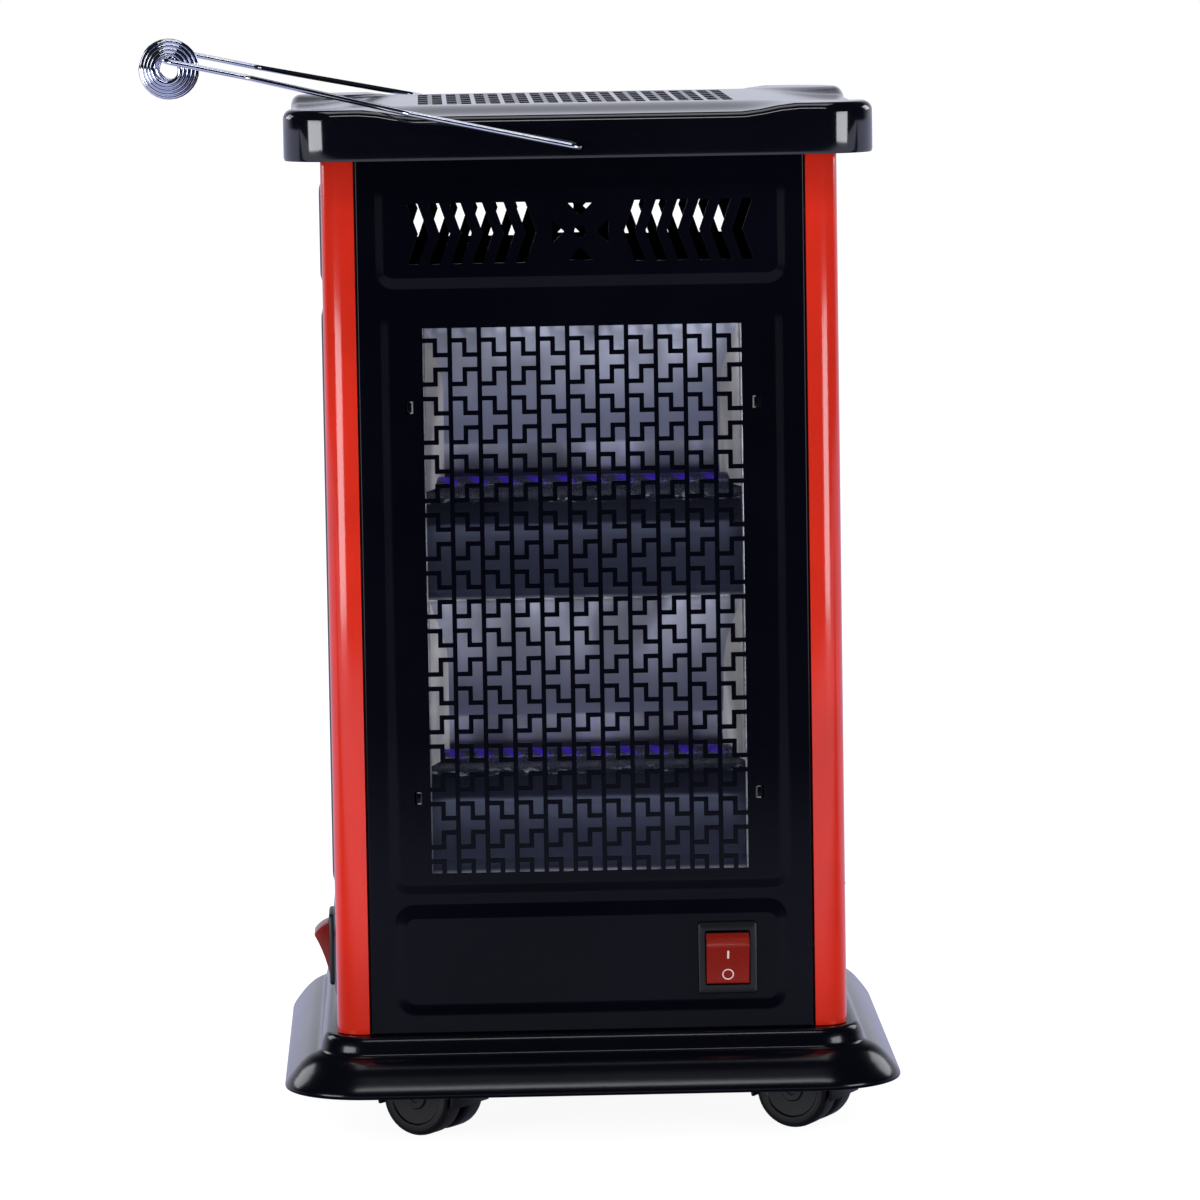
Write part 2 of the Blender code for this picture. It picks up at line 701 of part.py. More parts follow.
def coil_points():
    """The grip's turns, about the Y axis of the grip, with both ends eased into straight wire."""
    length = COIL_LENGTH
    pitch = length / COIL_TURNS
    ease = COIL_EASE_RADIUS
    lead = math.atan2(pitch, 2 * math.pi * COIL_END_RADIUS)
    steps = 3
    begin = []
    for i in range(steps):
        angle = (math.pi / 2 - lead) * i / steps
        begin.append((ease * (1 - math.cos(angle)) / COIL_END_RADIUS, ease * math.sin(angle)))
    turned = ease * (1 - math.sin(lead)) / COIL_END_RADIUS
    climbed = ease * math.cos(lead)
    total = 2 * math.pi * COIL_TURNS
    samples = [(angle, -length / 2 - climbed + along, COIL_END_RADIUS) for angle, along in begin]
    count = COIL_TURNS * COIL_POINTS_PER_TURN
    for i in range(count + 1):
        share = i / count
        swell = 1 - abs(2 * share - 1)
        radius = COIL_END_RADIUS + (COIL_MIDDLE_RADIUS - COIL_END_RADIUS) * swell
        angle = turned + (total - 2 * turned) * share
        samples.append((angle, -length / 2 + length * share, radius))
    for angle, along in reversed(begin):
        samples.append((total - angle, length / 2 + climbed - along, COIL_END_RADIUS))
    points = []
    for angle, along, radius in samples:
        turn = math.pi / 2 - angle
        points.append(Vector((radius * math.cos(turn), along, radius * math.sin(turn))))
    return points


def wire_path():
    """The handle's wire from one pivot to the other, lying flat along +X from the pivot axis."""
    side = ARM_SIDE
    pin = COVER_HALF_WIDTH - PIVOT_INSIDE - COVER_WALL
    grip = Vector((GRIP_REACH, 0.0, -COIL_END_RADIUS))
    elbow = Vector((0.0, -side, 0.0))
    shoulder = Vector((ARM_REACH, -side, 0.0))
    wrist = Vector((ARM_REACH + SLANT_REACH, -GRIP_HALF_WIDTH, 0.0))
    corner = Vector((GRIP_REACH, -GRIP_HALF_WIDTH, 0.0))
    coil = [grip + point for point in coil_points()]
    path = [Vector((0.0, -pin, 0.0))]
    stops = [path[0], elbow, shoulder, wrist, corner, coil[0]]
    radius = WIRE_BEND_RADIUS
    bends = [(radius, 3), (radius * 2, 2), (radius * 2, 2), (radius, 3)]
    for i, (bend, steps) in enumerate(bends):
        path += bend_points(stops[i], stops[i + 1], stops[i + 2], bend, steps)
    lead_in = len(path)
    path += coil
    mirrored = [Vector((point.x, -point.y, point.z)) for point in path[:lead_in]]
    return path + mirrored[::-1]


def least_self_gap(path, radius, neighbours):
    """The smallest gap between stretches of the wire that aren't next to each other."""
    least = math.inf
    for i, first in enumerate(path):
        for second in path[i + neighbours:]:
            least = min(least, (first - second).length - 2 * radius)
    return least


def build_handle(materials):
    """The bail: one bent wire whose middle is wound into a barrel-shaped grip."""
    path = wire_path()
    gap = least_self_gap(path, WIRE_RADIUS, COIL_POINTS_PER_TURN // 2)
    print(f"least gap of the handle's wire to itself: {gap * 1000:.2f} mm")
    curve = bpy.data.curves.new("handle", "CURVE")
    curve.dimensions = "3D"
    curve.twist_mode = "MINIMUM"
    curve.bevel_depth = WIRE_RADIUS
    curve.bevel_resolution = 1
    curve.use_fill_caps = True
    spline = curve.splines.new("POLY")
    spline.points.add(len(path) - 1)
    for target, point in zip(spline.points, path):
        target.co = (*point, 1.0)
    handle = add_object("handle", curve, materials["chrome"])
    handle.location = (0.0, 0.0, PIVOT_LEVEL)
    handle.rotation_euler = (0.0, math.radians(-HANDLE_REST_DEG), math.pi)
    handle.rotation_mode = "XYZ"


def trough_line(bottom):
    """Points of one side trough, from its upper lip down to just above its lower lip."""
    top = bottom + TROUGH_HEIGHT
    tube = bottom + TROUGH_HEIGHT / 2 - TUBE_BELOW_CENTRE
    lip = FLANGE_FACE - REFLECTOR_RIDGE_DEPTH
    back = TROUGH_BACK + REFLECTOR_SHEET
    return [
        (lip, top),
        (back + TROUGH_BEND_DEPTH, tube + TROUGH_FLOOR / 2 + TROUGH_BEND_RISE),
        (back, tube + TROUGH_FLOOR / 2),
        (back, tube - TROUGH_FLOOR / 2),
    ]


def sheet_outline(line, thickness):
    """A closed outline around a bent sheet: the line, and the line offset to its left."""
    points = [Vector(point) for point in line]
    offset = []
    for i, point in enumerate(points):
        before = (point - points[i - 1]).normalized() if i else None
        after = (points[i + 1] - point).normalized() if i + 1 < len(points) else None
        before = before or after
        after = after or before
        normal_in = Vector((-before.y, before.x))
        normal_out = Vector((-after.y, after.x))
        middle = (normal_in + normal_out).normalized()
        offset.append(point + middle * (thickness / middle.dot(normal_in)))
    return [tuple(point) for point in points + offset[::-1]]


def build_side_reflectors(materials):
    """A bent sheet with two troughs behind each grille, flanged to the panel."""
    low = DECK_TOP + WINDOW_BOTTOM
    high = low + WINDOW_HEIGHT
    lip = FLANGE_FACE - REFLECTOR_RIDGE_DEPTH
    line = [(FLANGE_FACE, high + REFLECTOR_FLANGE), (FLANGE_FACE, high + REFLECTOR_SHEET)]
    line += trough_line(low + TROUGH_HEIGHT) + trough_line(low)
    line += [(lip, low), (FLANGE_FACE, low - REFLECTOR_SHEET)]
    line.append((FLANGE_FACE, low - REFLECTOR_FLANGE))
    outline = [(-out, level) for out, level in sheet_outline(line, -REFLECTOR_SHEET)]
    length = REFLECTOR_HALF_LENGTH
    mesh = prism_mesh("side_reflector", outline, "X", -length, length)
    for side, turn in SIDES.items():
        item = add_object(f"{side}_reflector", mesh, materials["bright_aluminium"])
        turn_about_z(item, turn)


def tube_levels():
    low = DECK_TOP + WINDOW_BOTTOM + TROUGH_HEIGHT / 2 - TUBE_BELOW_CENTRE
    return {"lower": low, "upper": low + TROUGH_HEIGHT}


def tube_mesh(name, centre):
    """An open quartz tube along X."""
    rings = []
    inside = TUBE_RADIUS - TUBE_WALL
    for radius, end in ((TUBE_RADIUS, -1), (TUBE_RADIUS, 1), (inside, 1), (inside, -1)):
        outline = circle(radius, 12, centre)
        rings.append([Vector((end * TUBE_HALF_LENGTH, u, v)) for u, v in outline])
    return ring_mesh(name, rings, closed=True)


def holder_mesh(name, outline, centres, side):
    """An end plate across a trough, bored for the tubes that it carries."""
    start = side * (REFLECTOR_HALF_LENGTH + SEAT_GAP)
    end = start + side * HOLDER_THICKNESS
    plate = bpy.data.objects.new(name, prism_mesh(name, outline, "X", start, end))
    bpy.context.scene.collection.objects.link(plate)
    reach = side * HOLDER_THICKNESS
    bores = [
        prism_mesh("bore", circle(TUBE_RADIUS + SEAT_GAP, 12, spot), "X", start - reach, end + reach)
        for spot in centres
    ]
    combine(plate, joined("bores", bores), "DIFFERENCE")
    mesh = settle(plate)
    bpy.data.objects.remove(plate, do_unlink=True)
    return mesh


def build_side_elements(materials):
    """Two quartz tubes and two holders behind each grille."""
    levels = tube_levels()
    low = DECK_TOP + WINDOW_BOTTOM - REFLECTOR_FLANGE
    high = DECK_TOP + WINDOW_BOTTOM + WINDOW_HEIGHT + REFLECTOR_FLANGE
    outline = rectangle(-FLANGE_FACE, -TROUGH_BACK - REFLECTOR_SHEET, low, high)
    centres = [(-TUBE_AXIS, level) for level in levels.values()]
    tubes = {name: tube_mesh("quartz_tube", (-TUBE_AXIS, level)) for name, level in levels.items()}
    plates = {
        "a": holder_mesh("tube_holder", outline, centres, -1),
        "b": holder_mesh("tube_holder", outline, centres, 1),
    }
    for side, turn in SIDES.items():
        for level, mesh in tubes.items():
            tube = add_object(f"{side}_quartz_tube_{level}", mesh, materials["quartz"])
            turn_about_z(tube, turn)
        for end, mesh in plates.items():
            holder = add_object(f"{side}_tube_holder_{end}", mesh, materials["ceramic"])
            turn_about_z(holder, turn)


def build_top_elements(materials):
    """The trough, tube and holders under the cover's grille. The trough hangs from the cover."""
    mouth = TOP_TROUGH_MOUTH / 2
    flange = CEILING - SEAT_GAP - REFLECTOR_SHEET
    floor = TOP_TROUGH_LEVEL
    half = TOP_TROUGH_FLOOR / 2
    line = [(-mouth - REFLECTOR_FLANGE, flange), (-mouth, flange)]
    line += [(-half - TROUGH_BEND_RISE * 1.5, floor + TROUGH_BEND_DEPTH), (-half, floor)]
    line += [(-y, z) for y, z in reversed(line)]
    length = REFLECTOR_HALF_LENGTH
    outline = sheet_outline(line, REFLECTOR_SHEET)
    mesh = prism_mesh("top_reflector", outline, "X", -length, length)
    add_object("top_reflector", mesh, materials["bright_aluminium"])
    centre = (0.0, TOP_TUBE_LEVEL)
    add_object("top_quartz_tube", tube_mesh("top_quartz_tube", centre), materials["quartz"])
    top = CEILING - SEAT_GAP
    plate = [(-mouth, top), (-half, floor), (half, floor), (mouth, top)]
    for end, side in (("a", -1), ("b", 1)):
        mesh = holder_mesh("top_holder", plate, [centre], side)
        add_object(f"top_tube_holder_{end}", mesh, materials["ceramic"])


def build_heat_shield(materials):
    """The plate that closes the wiring space. Its corners clear the posts and panel folds."""
    out = PANEL_BACK - SEAT_GAP
    corner = PANEL_HALF_WIDTH - SHEET - SEAT_GAP
    deep = PANEL_FACE - PANEL_RETURN - SEAT_GAP
    outline = []
    for quarter in range(4):
        turn = Matrix.Rotation(quarter * math.pi / 2, 2)
        stretch = [(deep, -corner), (out, -corner), (out, corner), (deep, corner)]
        outline += [tuple(turn @ Vector(point)) for point in stretch]
    low = DECK_TOP + SHIELD_HEIGHT
    mesh = prism_mesh("heat_shield", outline, "Z", low, low + SHIELD_THICKNESS)
    add_object("heat_shield", mesh, materials["zinc_steel"])


def rocker_outline():
    """The rocker's section at rest, as outward distance and height from its pivot."""
    half = ROCKER_FACE_HALF_DEG
    travel = 2 * ROCKER_TILT_DEG
    tilt = -ROCKER_TILT_DEG
    outline = arc((0.0, 0.0), ROCKER_RADIUS, tilt - half - travel, tilt - half, 4)
    chord = ROCKER_RADIUS * math.cos(math.radians(half)) - ROCKER_HOLLOW
    outline += arc((0.0, 0.0), chord, tilt, tilt, 1)[:1]
    outline += arc((0.0, 0.0), ROCKER_RADIUS, tilt + half, tilt + half + travel, 4)
    return outline


def build_switches(materials):
    """A rocker switch at the lower right of each side: the housing and the rocker in it."""
    pivot = BEZEL_FACE - ROCKER_PIVOT_DEPTH
    across = ROCKER_WIDTH / 2
    level = SWITCH_LEVEL
    bezel_back = FIELD_FACE + SEAT_GAP

    def box(name, width, height, outer, inner):
        outline = rectangle(
            SWITCH_SIDE - width / 2, SWITCH_SIDE + width / 2, level - height / 2, level + height / 2
        )
        return prism_mesh(name, outline, "Y", -outer, -inner)

    def pins(name, radius, reach):
        outline = circle(radius, 8, (-pivot, level))
        return prism_mesh(name, outline, "X", SWITCH_SIDE - reach, SWITCH_SIDE + reach)

    body_back = bezel_back - SWITCH_BODY_DEPTH
    body = box("body", SWITCH_BODY_WIDTH, SWITCH_BODY_HEIGHT, bezel_back + SEAT_GAP, body_back)
    bezel = box("bezel", BEZEL_WIDTH, BEZEL_HEIGHT, BEZEL_FACE, bezel_back)
    housing = add_object("front_switch_housing", bezel, materials["black_plastic"])
    combine(housing, body, "UNION")
    swing = math.radians(90 - ROCKER_FACE_HALF_DEG - 3 * ROCKER_TILT_DEG)
    well_depth = ROCKER_PIVOT_DEPTH + ROCKER_RADIUS * abs(math.sin(swing)) + SEAT_GAP
    well = box(
        "well",
        ROCKER_WIDTH + 2 * SEAT_GAP,
        2 * (ROCKER_RADIUS + SEAT_GAP),
        BEZEL_FACE + BEZEL_THICKNESS,
        BEZEL_FACE - well_depth,
    )
    combine(housing, well, "DIFFERENCE")
    pin_end = across + ROCKER_PIN_REACH
    sockets = pins("sockets", ROCKER_PIN_RADIUS + RUNNING_GAP, pin_end + SEAT_GAP)
    combine(housing, sockets, "DIFFERENCE")
    shared_housing = settle(housing)

    outline = [(-pivot - out, level + up) for out, up in rocker_outline()]
    mesh = prism_mesh("rocker", outline, "X", SWITCH_SIDE - across, SWITCH_SIDE + across)
    rocker = add_object("front_rocker", mesh, materials["red_plastic"])
    combine(rocker, pins("pins", ROCKER_PIN_RADIUS, pin_end), "UNION")
    shared_rocker = settle(rocker)
    centre = Vector((SWITCH_SIDE, -pivot, level))
    shared_rocker.transform(Matrix.Translation(-centre))
    for side, turn in SIDES.items():
        if side != "front":
            item = add_object(f"{side}_switch_housing", shared_housing, materials["black_plastic"])
            turn_about_z(item, turn)
            rocker = add_object(f"{side}_rocker", shared_rocker, materials["red_plastic"])
        rocker.location = Matrix.Rotation(math.radians(turn), 3, "Z") @ centre
        turn_about_z(rocker, turn)


def wheel_mesh(side):
    """One castor wheel, bored for the axle, with its edges taken off."""
    inner = WEB_THICKNESS / 2 + SEAT_GAP
    outer = inner + WHEEL_WIDTH
    bore = AXLE_RADIUS + RUNNING_GAP
    profile = [
        (bore, inner),
        (WHEEL_RADIUS - WHEEL_EDGE, inner),
        (WHEEL_RADIUS, inner + WHEEL_EDGE),
        (WHEEL_RADIUS, outer - WHEEL_EDGE),
        (WHEEL_RADIUS - WHEEL_EDGE, outer),
        (bore, outer),
    ]
    rings = [
        [Vector((u, side * out, v)) for u, v in circle(radius, WHEEL_SIDES)]
        for radius, out in profile
    ]
    return ring_mesh("castor_wheel", rings, closed=True)


def hood_mesh():
    """A castor's hood, web, axle and stem in one piece, about the stem's axis at the deck."""
    half_width = WEB_THICKNESS / 2 + SEAT_GAP + WHEEL_WIDTH
    centre = (CASTOR_TRAIL, AXLE_LEVEL)
    cavity = WHEEL_RADIUS + HOOD_WHEEL_GAP
    outline = arc(centre, cavity + HOOD_WALL, -15, 195, 12)
    item = bpy.data.objects.new("hood", prism_mesh("hood", outline, "Y", -half_width, half_width))
    bpy.context.scene.collection.objects.link(item)
    stem = circle(STEM_RADIUS, WHEEL_SIDES)
    stem_top = DECK_TOP + STEM_ABOVE_DECK
    combine(item, prism_mesh("stem", stem, "Z", AXLE_LEVEL + STEM_RADIUS, stem_top), "UNION")
    collar = circle(COLLAR_RADIUS, WHEEL_SIDES)
    collar_low = -SEAT_GAP - COLLAR_THICKNESS
    combine(item, prism_mesh("collar", collar, "Z", collar_low, -SEAT_GAP), "UNION")
    wells = []
    for side in (-1, 1):
        start = side * WEB_THICKNESS / 2
        end = side * (half_width + HOOD_WALL)
        wells.append(prism_mesh("well", circle(cavity, WHEEL_SIDES, centre), "Y", start, end))
    combine(item, joined("wells", wells), "DIFFERENCE")
    axle_end = half_width - AXLE_END
    axle = prism_mesh("axle", circle(AXLE_RADIUS, 12, centre), "Y", -axle_end, axle_end)
    combine(item, axle, "UNION")
    mesh = settle(item)
    bpy.data.objects.remove(item, do_unlink=True)
    return mesh


def build_castors(materials):
    """Four twin-wheel castors. Each hood turns about its stem, each wheel about the axle."""
    hood = hood_mesh()
    wheels = {"a": wheel_mesh(-1), "b": wheel_mesh(1)}
    for name, (x, y) in castor_places().items():
        carrier = add_object(f"castor_{name}", hood, materials["black_plastic"])
        carrier.location = (x, y, 0.0)
        turn_about_z(carrier, CASTOR_YAW_DEG[name])
        for end, mesh in wheels.items():
            wheel = add_object(f"wheel_{name}_{end}", mesh, materials["wheel_nylon"])
            wheel.parent = carrier
            wheel.location = (CASTOR_TRAIL, 0.0, AXLE_LEVEL)


def build_gland(materials):
    """The bush in the rear panel that the supply cord leaves through."""
    outer = FIELD_FACE + SEAT_GAP + GLAND_FLANGE_THICKNESS
    seat = FIELD_FACE + SEAT_GAP
    end = FIELD_BACK - GLAND_INNER_LENGTH
    profile = [
        (GLAND_BORE, outer),
        (GLAND_FLANGE, outer),
        (GLAND_FLANGE, seat),
        (GLAND_NECK, seat),
        (GLAND_NECK, end),
        (GLAND_BORE, end),
    ]
    spot = (GLAND_SIDE, DECK_TOP + GLAND_HEIGHT)
    rings = [
        [Vector((u, out, v)) for u, v in circle(radius, 12, spot)] for radius, out in profile
    ]
    mesh = ring_mesh("cord_gland", rings, closed=True)
    add_object("cord_gland", mesh, materials["black_plastic"])


def box_mesh(name, size, place_xy, bottom):
    """An upright box of this size, centred over a place."""
    x, y = place_xy
    outline = rectangle(x - size[0] / 2, x + size[0] / 2, y - size[1] / 2, y + size[1] / 2)
    return prism_mesh(name, outline, "Z", bottom, bottom + size[2])


def build_wiring_parts(materials):
    """The terminal block and tip-over switch on the deck, and the cut-out under the shield."""
    floor = DECK_TOP + SEAT_GAP
    mesh = box_mesh("terminal_block", BLOCK_SIZE, BLOCK_PLACE, floor)
    block = add_object("terminal_block", mesh, materials["ceramic"])
    pitch = BLOCK_SIZE[0] / BLOCK_POLES
    wells = []
    for pole in range(BLOCK_POLES):
        x = BLOCK_PLACE[0] + (pole - (BLOCK_POLES - 1) / 2) * pitch
        low = floor + BLOCK_SIZE[2] - BLOCK_WELL[2]
        size = (BLOCK_WELL[0], BLOCK_WELL[1], 2 * BLOCK_WELL[2])
        wells.append(box_mesh("well", size, (x, BLOCK_PLACE[1]), low))
    combine(block, joined("wells", wells), "DIFFERENCE")
    settle(block)
    mesh = box_mesh("tip_over_switch", TIP_SWITCH_SIZE, TIP_SWITCH_PLACE, floor)
    add_object("tip_over_switch", mesh, materials["black_plastic"])
    top = DECK_TOP + SHIELD_HEIGHT - SEAT_GAP
    rings = []
    low = top - CUTOUT_FLANGE
    for radius, level in (
        (CUTOUT_FLANGE_RADIUS, top),
        (CUTOUT_FLANGE_RADIUS, low),
        (CUTOUT_RADIUS, low),
        (CUTOUT_RADIUS, low - CUTOUT_HEIGHT),
    ):
        rings.append([Vector((u, v, level)) for u, v in circle(radius, 16)])
    mesh = ring_mesh("thermal_cutout", rings)
    add_object("thermal_cutout", mesh, materials["zinc_steel"])


def main():
    clear_scene()
    materials = make_materials()
    build_base_pan(materials)
    build_posts(materials)
    build_panels(materials)
    build_cover(materials)
    build_handle(materials)
    build_side_reflectors(materials)
    build_side_elements(materials)
    build_top_elements(materials)
    build_heat_shield(materials)
    build_switches(materials)
    build_castors(materials)
    build_gland(materials)
    build_wiring_parts(materials)


main()
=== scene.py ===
"""The looks of a square quartz heater on castors: its sheet metal, elements, handle and studio."""

import logging
import math
from collections.abc import Iterable, Sequence
from dataclasses import dataclass, field
from enum import Enum
from typing import Any

import bmesh
import bpy
from mathutils import Matrix, Vector
from mathutils.geometry import tessellate_polygon


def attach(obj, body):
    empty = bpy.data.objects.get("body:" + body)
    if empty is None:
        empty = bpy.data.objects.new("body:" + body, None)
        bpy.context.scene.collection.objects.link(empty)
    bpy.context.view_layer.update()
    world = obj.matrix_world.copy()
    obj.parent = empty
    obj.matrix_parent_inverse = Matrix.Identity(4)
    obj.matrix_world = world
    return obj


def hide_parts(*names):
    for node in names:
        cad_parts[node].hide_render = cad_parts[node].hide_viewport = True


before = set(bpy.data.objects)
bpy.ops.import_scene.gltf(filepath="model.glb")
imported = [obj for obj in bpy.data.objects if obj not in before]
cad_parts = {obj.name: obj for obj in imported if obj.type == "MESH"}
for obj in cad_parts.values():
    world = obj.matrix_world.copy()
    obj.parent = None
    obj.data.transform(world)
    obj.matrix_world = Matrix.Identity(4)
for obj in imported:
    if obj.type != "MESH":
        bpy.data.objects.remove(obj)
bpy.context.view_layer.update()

LOG = logging.getLogger("heater")
MM = 0.001
WELD = 0.002 * MM
TROUGHS = (72.0 * MM, 117.5 * MM)
WINDOW_HALF = 68.5 * MM
PIVOT_LEVEL = 382.1 * MM
CASTOR_PLACE = 80 * MM
CHASSIS = "chassis"
Flat = tuple[float, float]
Loop = list[Flat]
Triple = tuple[float, float, float]
Item = bpy.types.Object
Mesh = bpy.types.Mesh
Node = bpy.types.Node
Skin = bmesh.types.BMesh
Socket = bpy.types.NodeSocket
QUARTERS = tuple(Matrix.Rotation(i * math.pi / 2, 2) for i in range(4))


class Placed(Enum):
    """A named place on the column."""

    @property
    def label(self) -> str:
        """The place's name as the frame's nodes have it."""
        return self.name.lower()


class Side(Placed):
    """A side of the column and its turn about the upright axis, in degrees."""

    FRONT = 0.0
    LEFT = -90.0
    REAR = 180.0
    RIGHT = 90.0

    @property
    def turn(self) -> Matrix:
        """The turn that carries the front's shapes to this side."""
        return Matrix.Rotation(math.radians(self.value), 4, "Z")


class Corner(Placed):
    """A corner of the column, as its signs along X and Y."""

    FRONT_LEFT = (-1, -1)
    FRONT_RIGHT = (1, -1)
    REAR_LEFT = (-1, 1)
    REAR_RIGHT = (1, 1)

    def spot(self) -> Flat:
        """Where the corner's castor turns, in X and Y."""
        return (self.value[0] * CASTOR_PLACE, self.value[1] * CASTOR_PLACE)


class Along(Enum):
    """An axis, as the order in which X, Y and Z take a place across it (0, 1) and along it (2)."""

    X = (2, 0, 1)
    Y = (0, 2, 1)
    Z = (0, 1, 2)

    def place(self, u: float, v: float, at: float) -> Vector:
        """Puts two coordinates across the axis and one along it into space."""
        return Vector([(u, v, at)[i] for i in self.value])


# ---- shader and geometry graphs


class Signal:
    """A socket that takes Python arithmetic and adds the Math nodes for it."""

    def __init__(self, graph: "Graph", socket: Socket) -> None:
        """Wraps a socket of a graph."""
        self.graph, self.socket = graph, socket

    def math(self, operation: str, *others: "Signal | float") -> "Signal":
        """Adds one Math node that starts from this value."""
        inputs = dict(enumerate((self, *others)))
        return self.graph.signal("ShaderNodeMath", {"operation": operation}, inputs)

    def ramp(self, low: float, high: float) -> "Signal":
        """Eases from 0 at low to 1 at high, whichever of them is the greater."""
        inputs = {"Value": self, "From Min": low, "From Max": high}
        return self.graph.signal("ShaderNodeMapRange", {"interpolation_type": "SMOOTHSTEP"}, inputs)

    def __add__(self, other: "Signal | float") -> "Signal":
        """Sum."""
        return self.math("ADD", other)

    __radd__ = __add__

    def __mul__(self, other: "Signal | float") -> "Signal":
        """Product."""
        return self.math("MULTIPLY", other)

    __rmul__ = __mul__

    def __sub__(self, other: "Signal | float") -> "Signal":
        """Difference."""
        return self.math("SUBTRACT", other)

    def __rsub__(self, other: float) -> "Signal":
        """Difference from a number."""
        return (self * -1.0).math("ADD", other)


class Graph:
    """A node tree that is built by calls."""

    def __init__(self, tree: bpy.types.NodeTree) -> None:
        """Wraps a tree."""
        self.tree = tree

    def node(self, kind: str, settings: dict | None = None, inputs: dict | None = None) -> Node:
        """Adds a node, with its settings first and then its sockets.

        Args:
            kind: The node's type.
            settings: Properties of the node.
            inputs: Values, sockets, nodes or signals by socket name or number.

        Returns:
            The node.
        """
        node = self.tree.nodes.new(kind)
        for name, value in (settings or {}).items():
            setattr(node, name, value)
        for name, value in (inputs or {}).items():
            self.feed(node.inputs[name], value)
        return node

    def signal(self, kind: str, settings: dict, inputs: dict, output: int | str = 0) -> Signal:
        """Adds a node and wraps one of its outputs."""
        return Signal(self, self.node(kind, settings, inputs).outputs[output])

    def feed(self, socket: Socket, value: Any) -> None:
        """Links a socket or sets its value.

        Args:
            socket: The input to feed.
            value: A signal, socket or node to link, or a plain value. A colour has three parts.
        """
        if isinstance(value, Signal):
            value = value.socket
        if isinstance(value, Node):
            value = value.outputs[0]
        if isinstance(value, Socket):
            self.tree.links.new(value, socket)
        else:
            socket.default_value = (*value, 1.0) if socket.type == "RGBA" else value


class Paint(Graph):
    """A material's graph round one Principled shader."""

    def __init__(self, name: str) -> None:
        """Starts a material.

        Args:
            name: The material's name.
        """
        self.material = bpy.data.materials.new(name)
        self.material.use_nodes = True
        super().__init__(self.material.node_tree)
        self.shader = self.tree.nodes["Principled BSDF"]
        self.place = self.node("ShaderNodeTexCoord").outputs["Object"]

    def noise(self, scale: float, detail: float = 2.0, stretch: Triple = (1.0, 1.0, 1.0)) -> Signal:
        """Soft noise over the object.

        Args:
            scale: Cells to the metre.
            detail: Octaves.
            stretch: Scale along each axis, for streaks.

        Returns:
            The noise, from 0 to 1.
        """
        spread = self.node("ShaderNodeMapping", {}, {"Vector": self.place, "Scale": stretch})
        inputs = {"Vector": spread, "Scale": scale, "Detail": detail}
        return self.signal("ShaderNodeTexNoise", {}, inputs)

    def axis(self, name: str) -> Signal:
        """One object coordinate, in metres."""
        return self.signal("ShaderNodeSeparateXYZ", {}, {0: self.place}, name)

    def trough_share(self, low: float, height: float) -> Signal:
        """Where a place lies in its trough, from 0 at the lower lip to 1 at the upper one."""
        return ((self.axis("Z") - low) * (1.0 / height)).math("FRACT")

    def blend(self, share: Signal, first: Any, second: Any) -> Socket:
        """Mixes two colours or sockets.

        Args:
            share: How much of the second colour shows.
            first: The first colour.
            second: The second colour.

        Returns:
            The mixed colour.
        """
        node = self.node("ShaderNodeMix", {"data_type": "RGBA"})
        sockets = {one.identifier: one for one in (*node.inputs, *node.outputs)}
        for name, value in (("Factor_Float", share), ("A_Color", first), ("B_Color", second)):
            self.feed(sockets[name], value)
        return sockets["Result_Color"]

    def bump(self, height: Signal, distance: float, strength: float = 0.5) -> None:
        """Feeds the shader's normal from a height."""
        inputs = {"Height": height, "Distance": distance, "Strength": strength}
        self.feed(self.shader.inputs["Normal"], self.node("ShaderNodeBump", {}, inputs))

    def set(self, **values: Any) -> None:
        """Sets the shader's sockets, with underscores for the spaces in their names."""
        for name, value in values.items():
            self.feed(self.shader.inputs[name.replace("_", " ")], value)


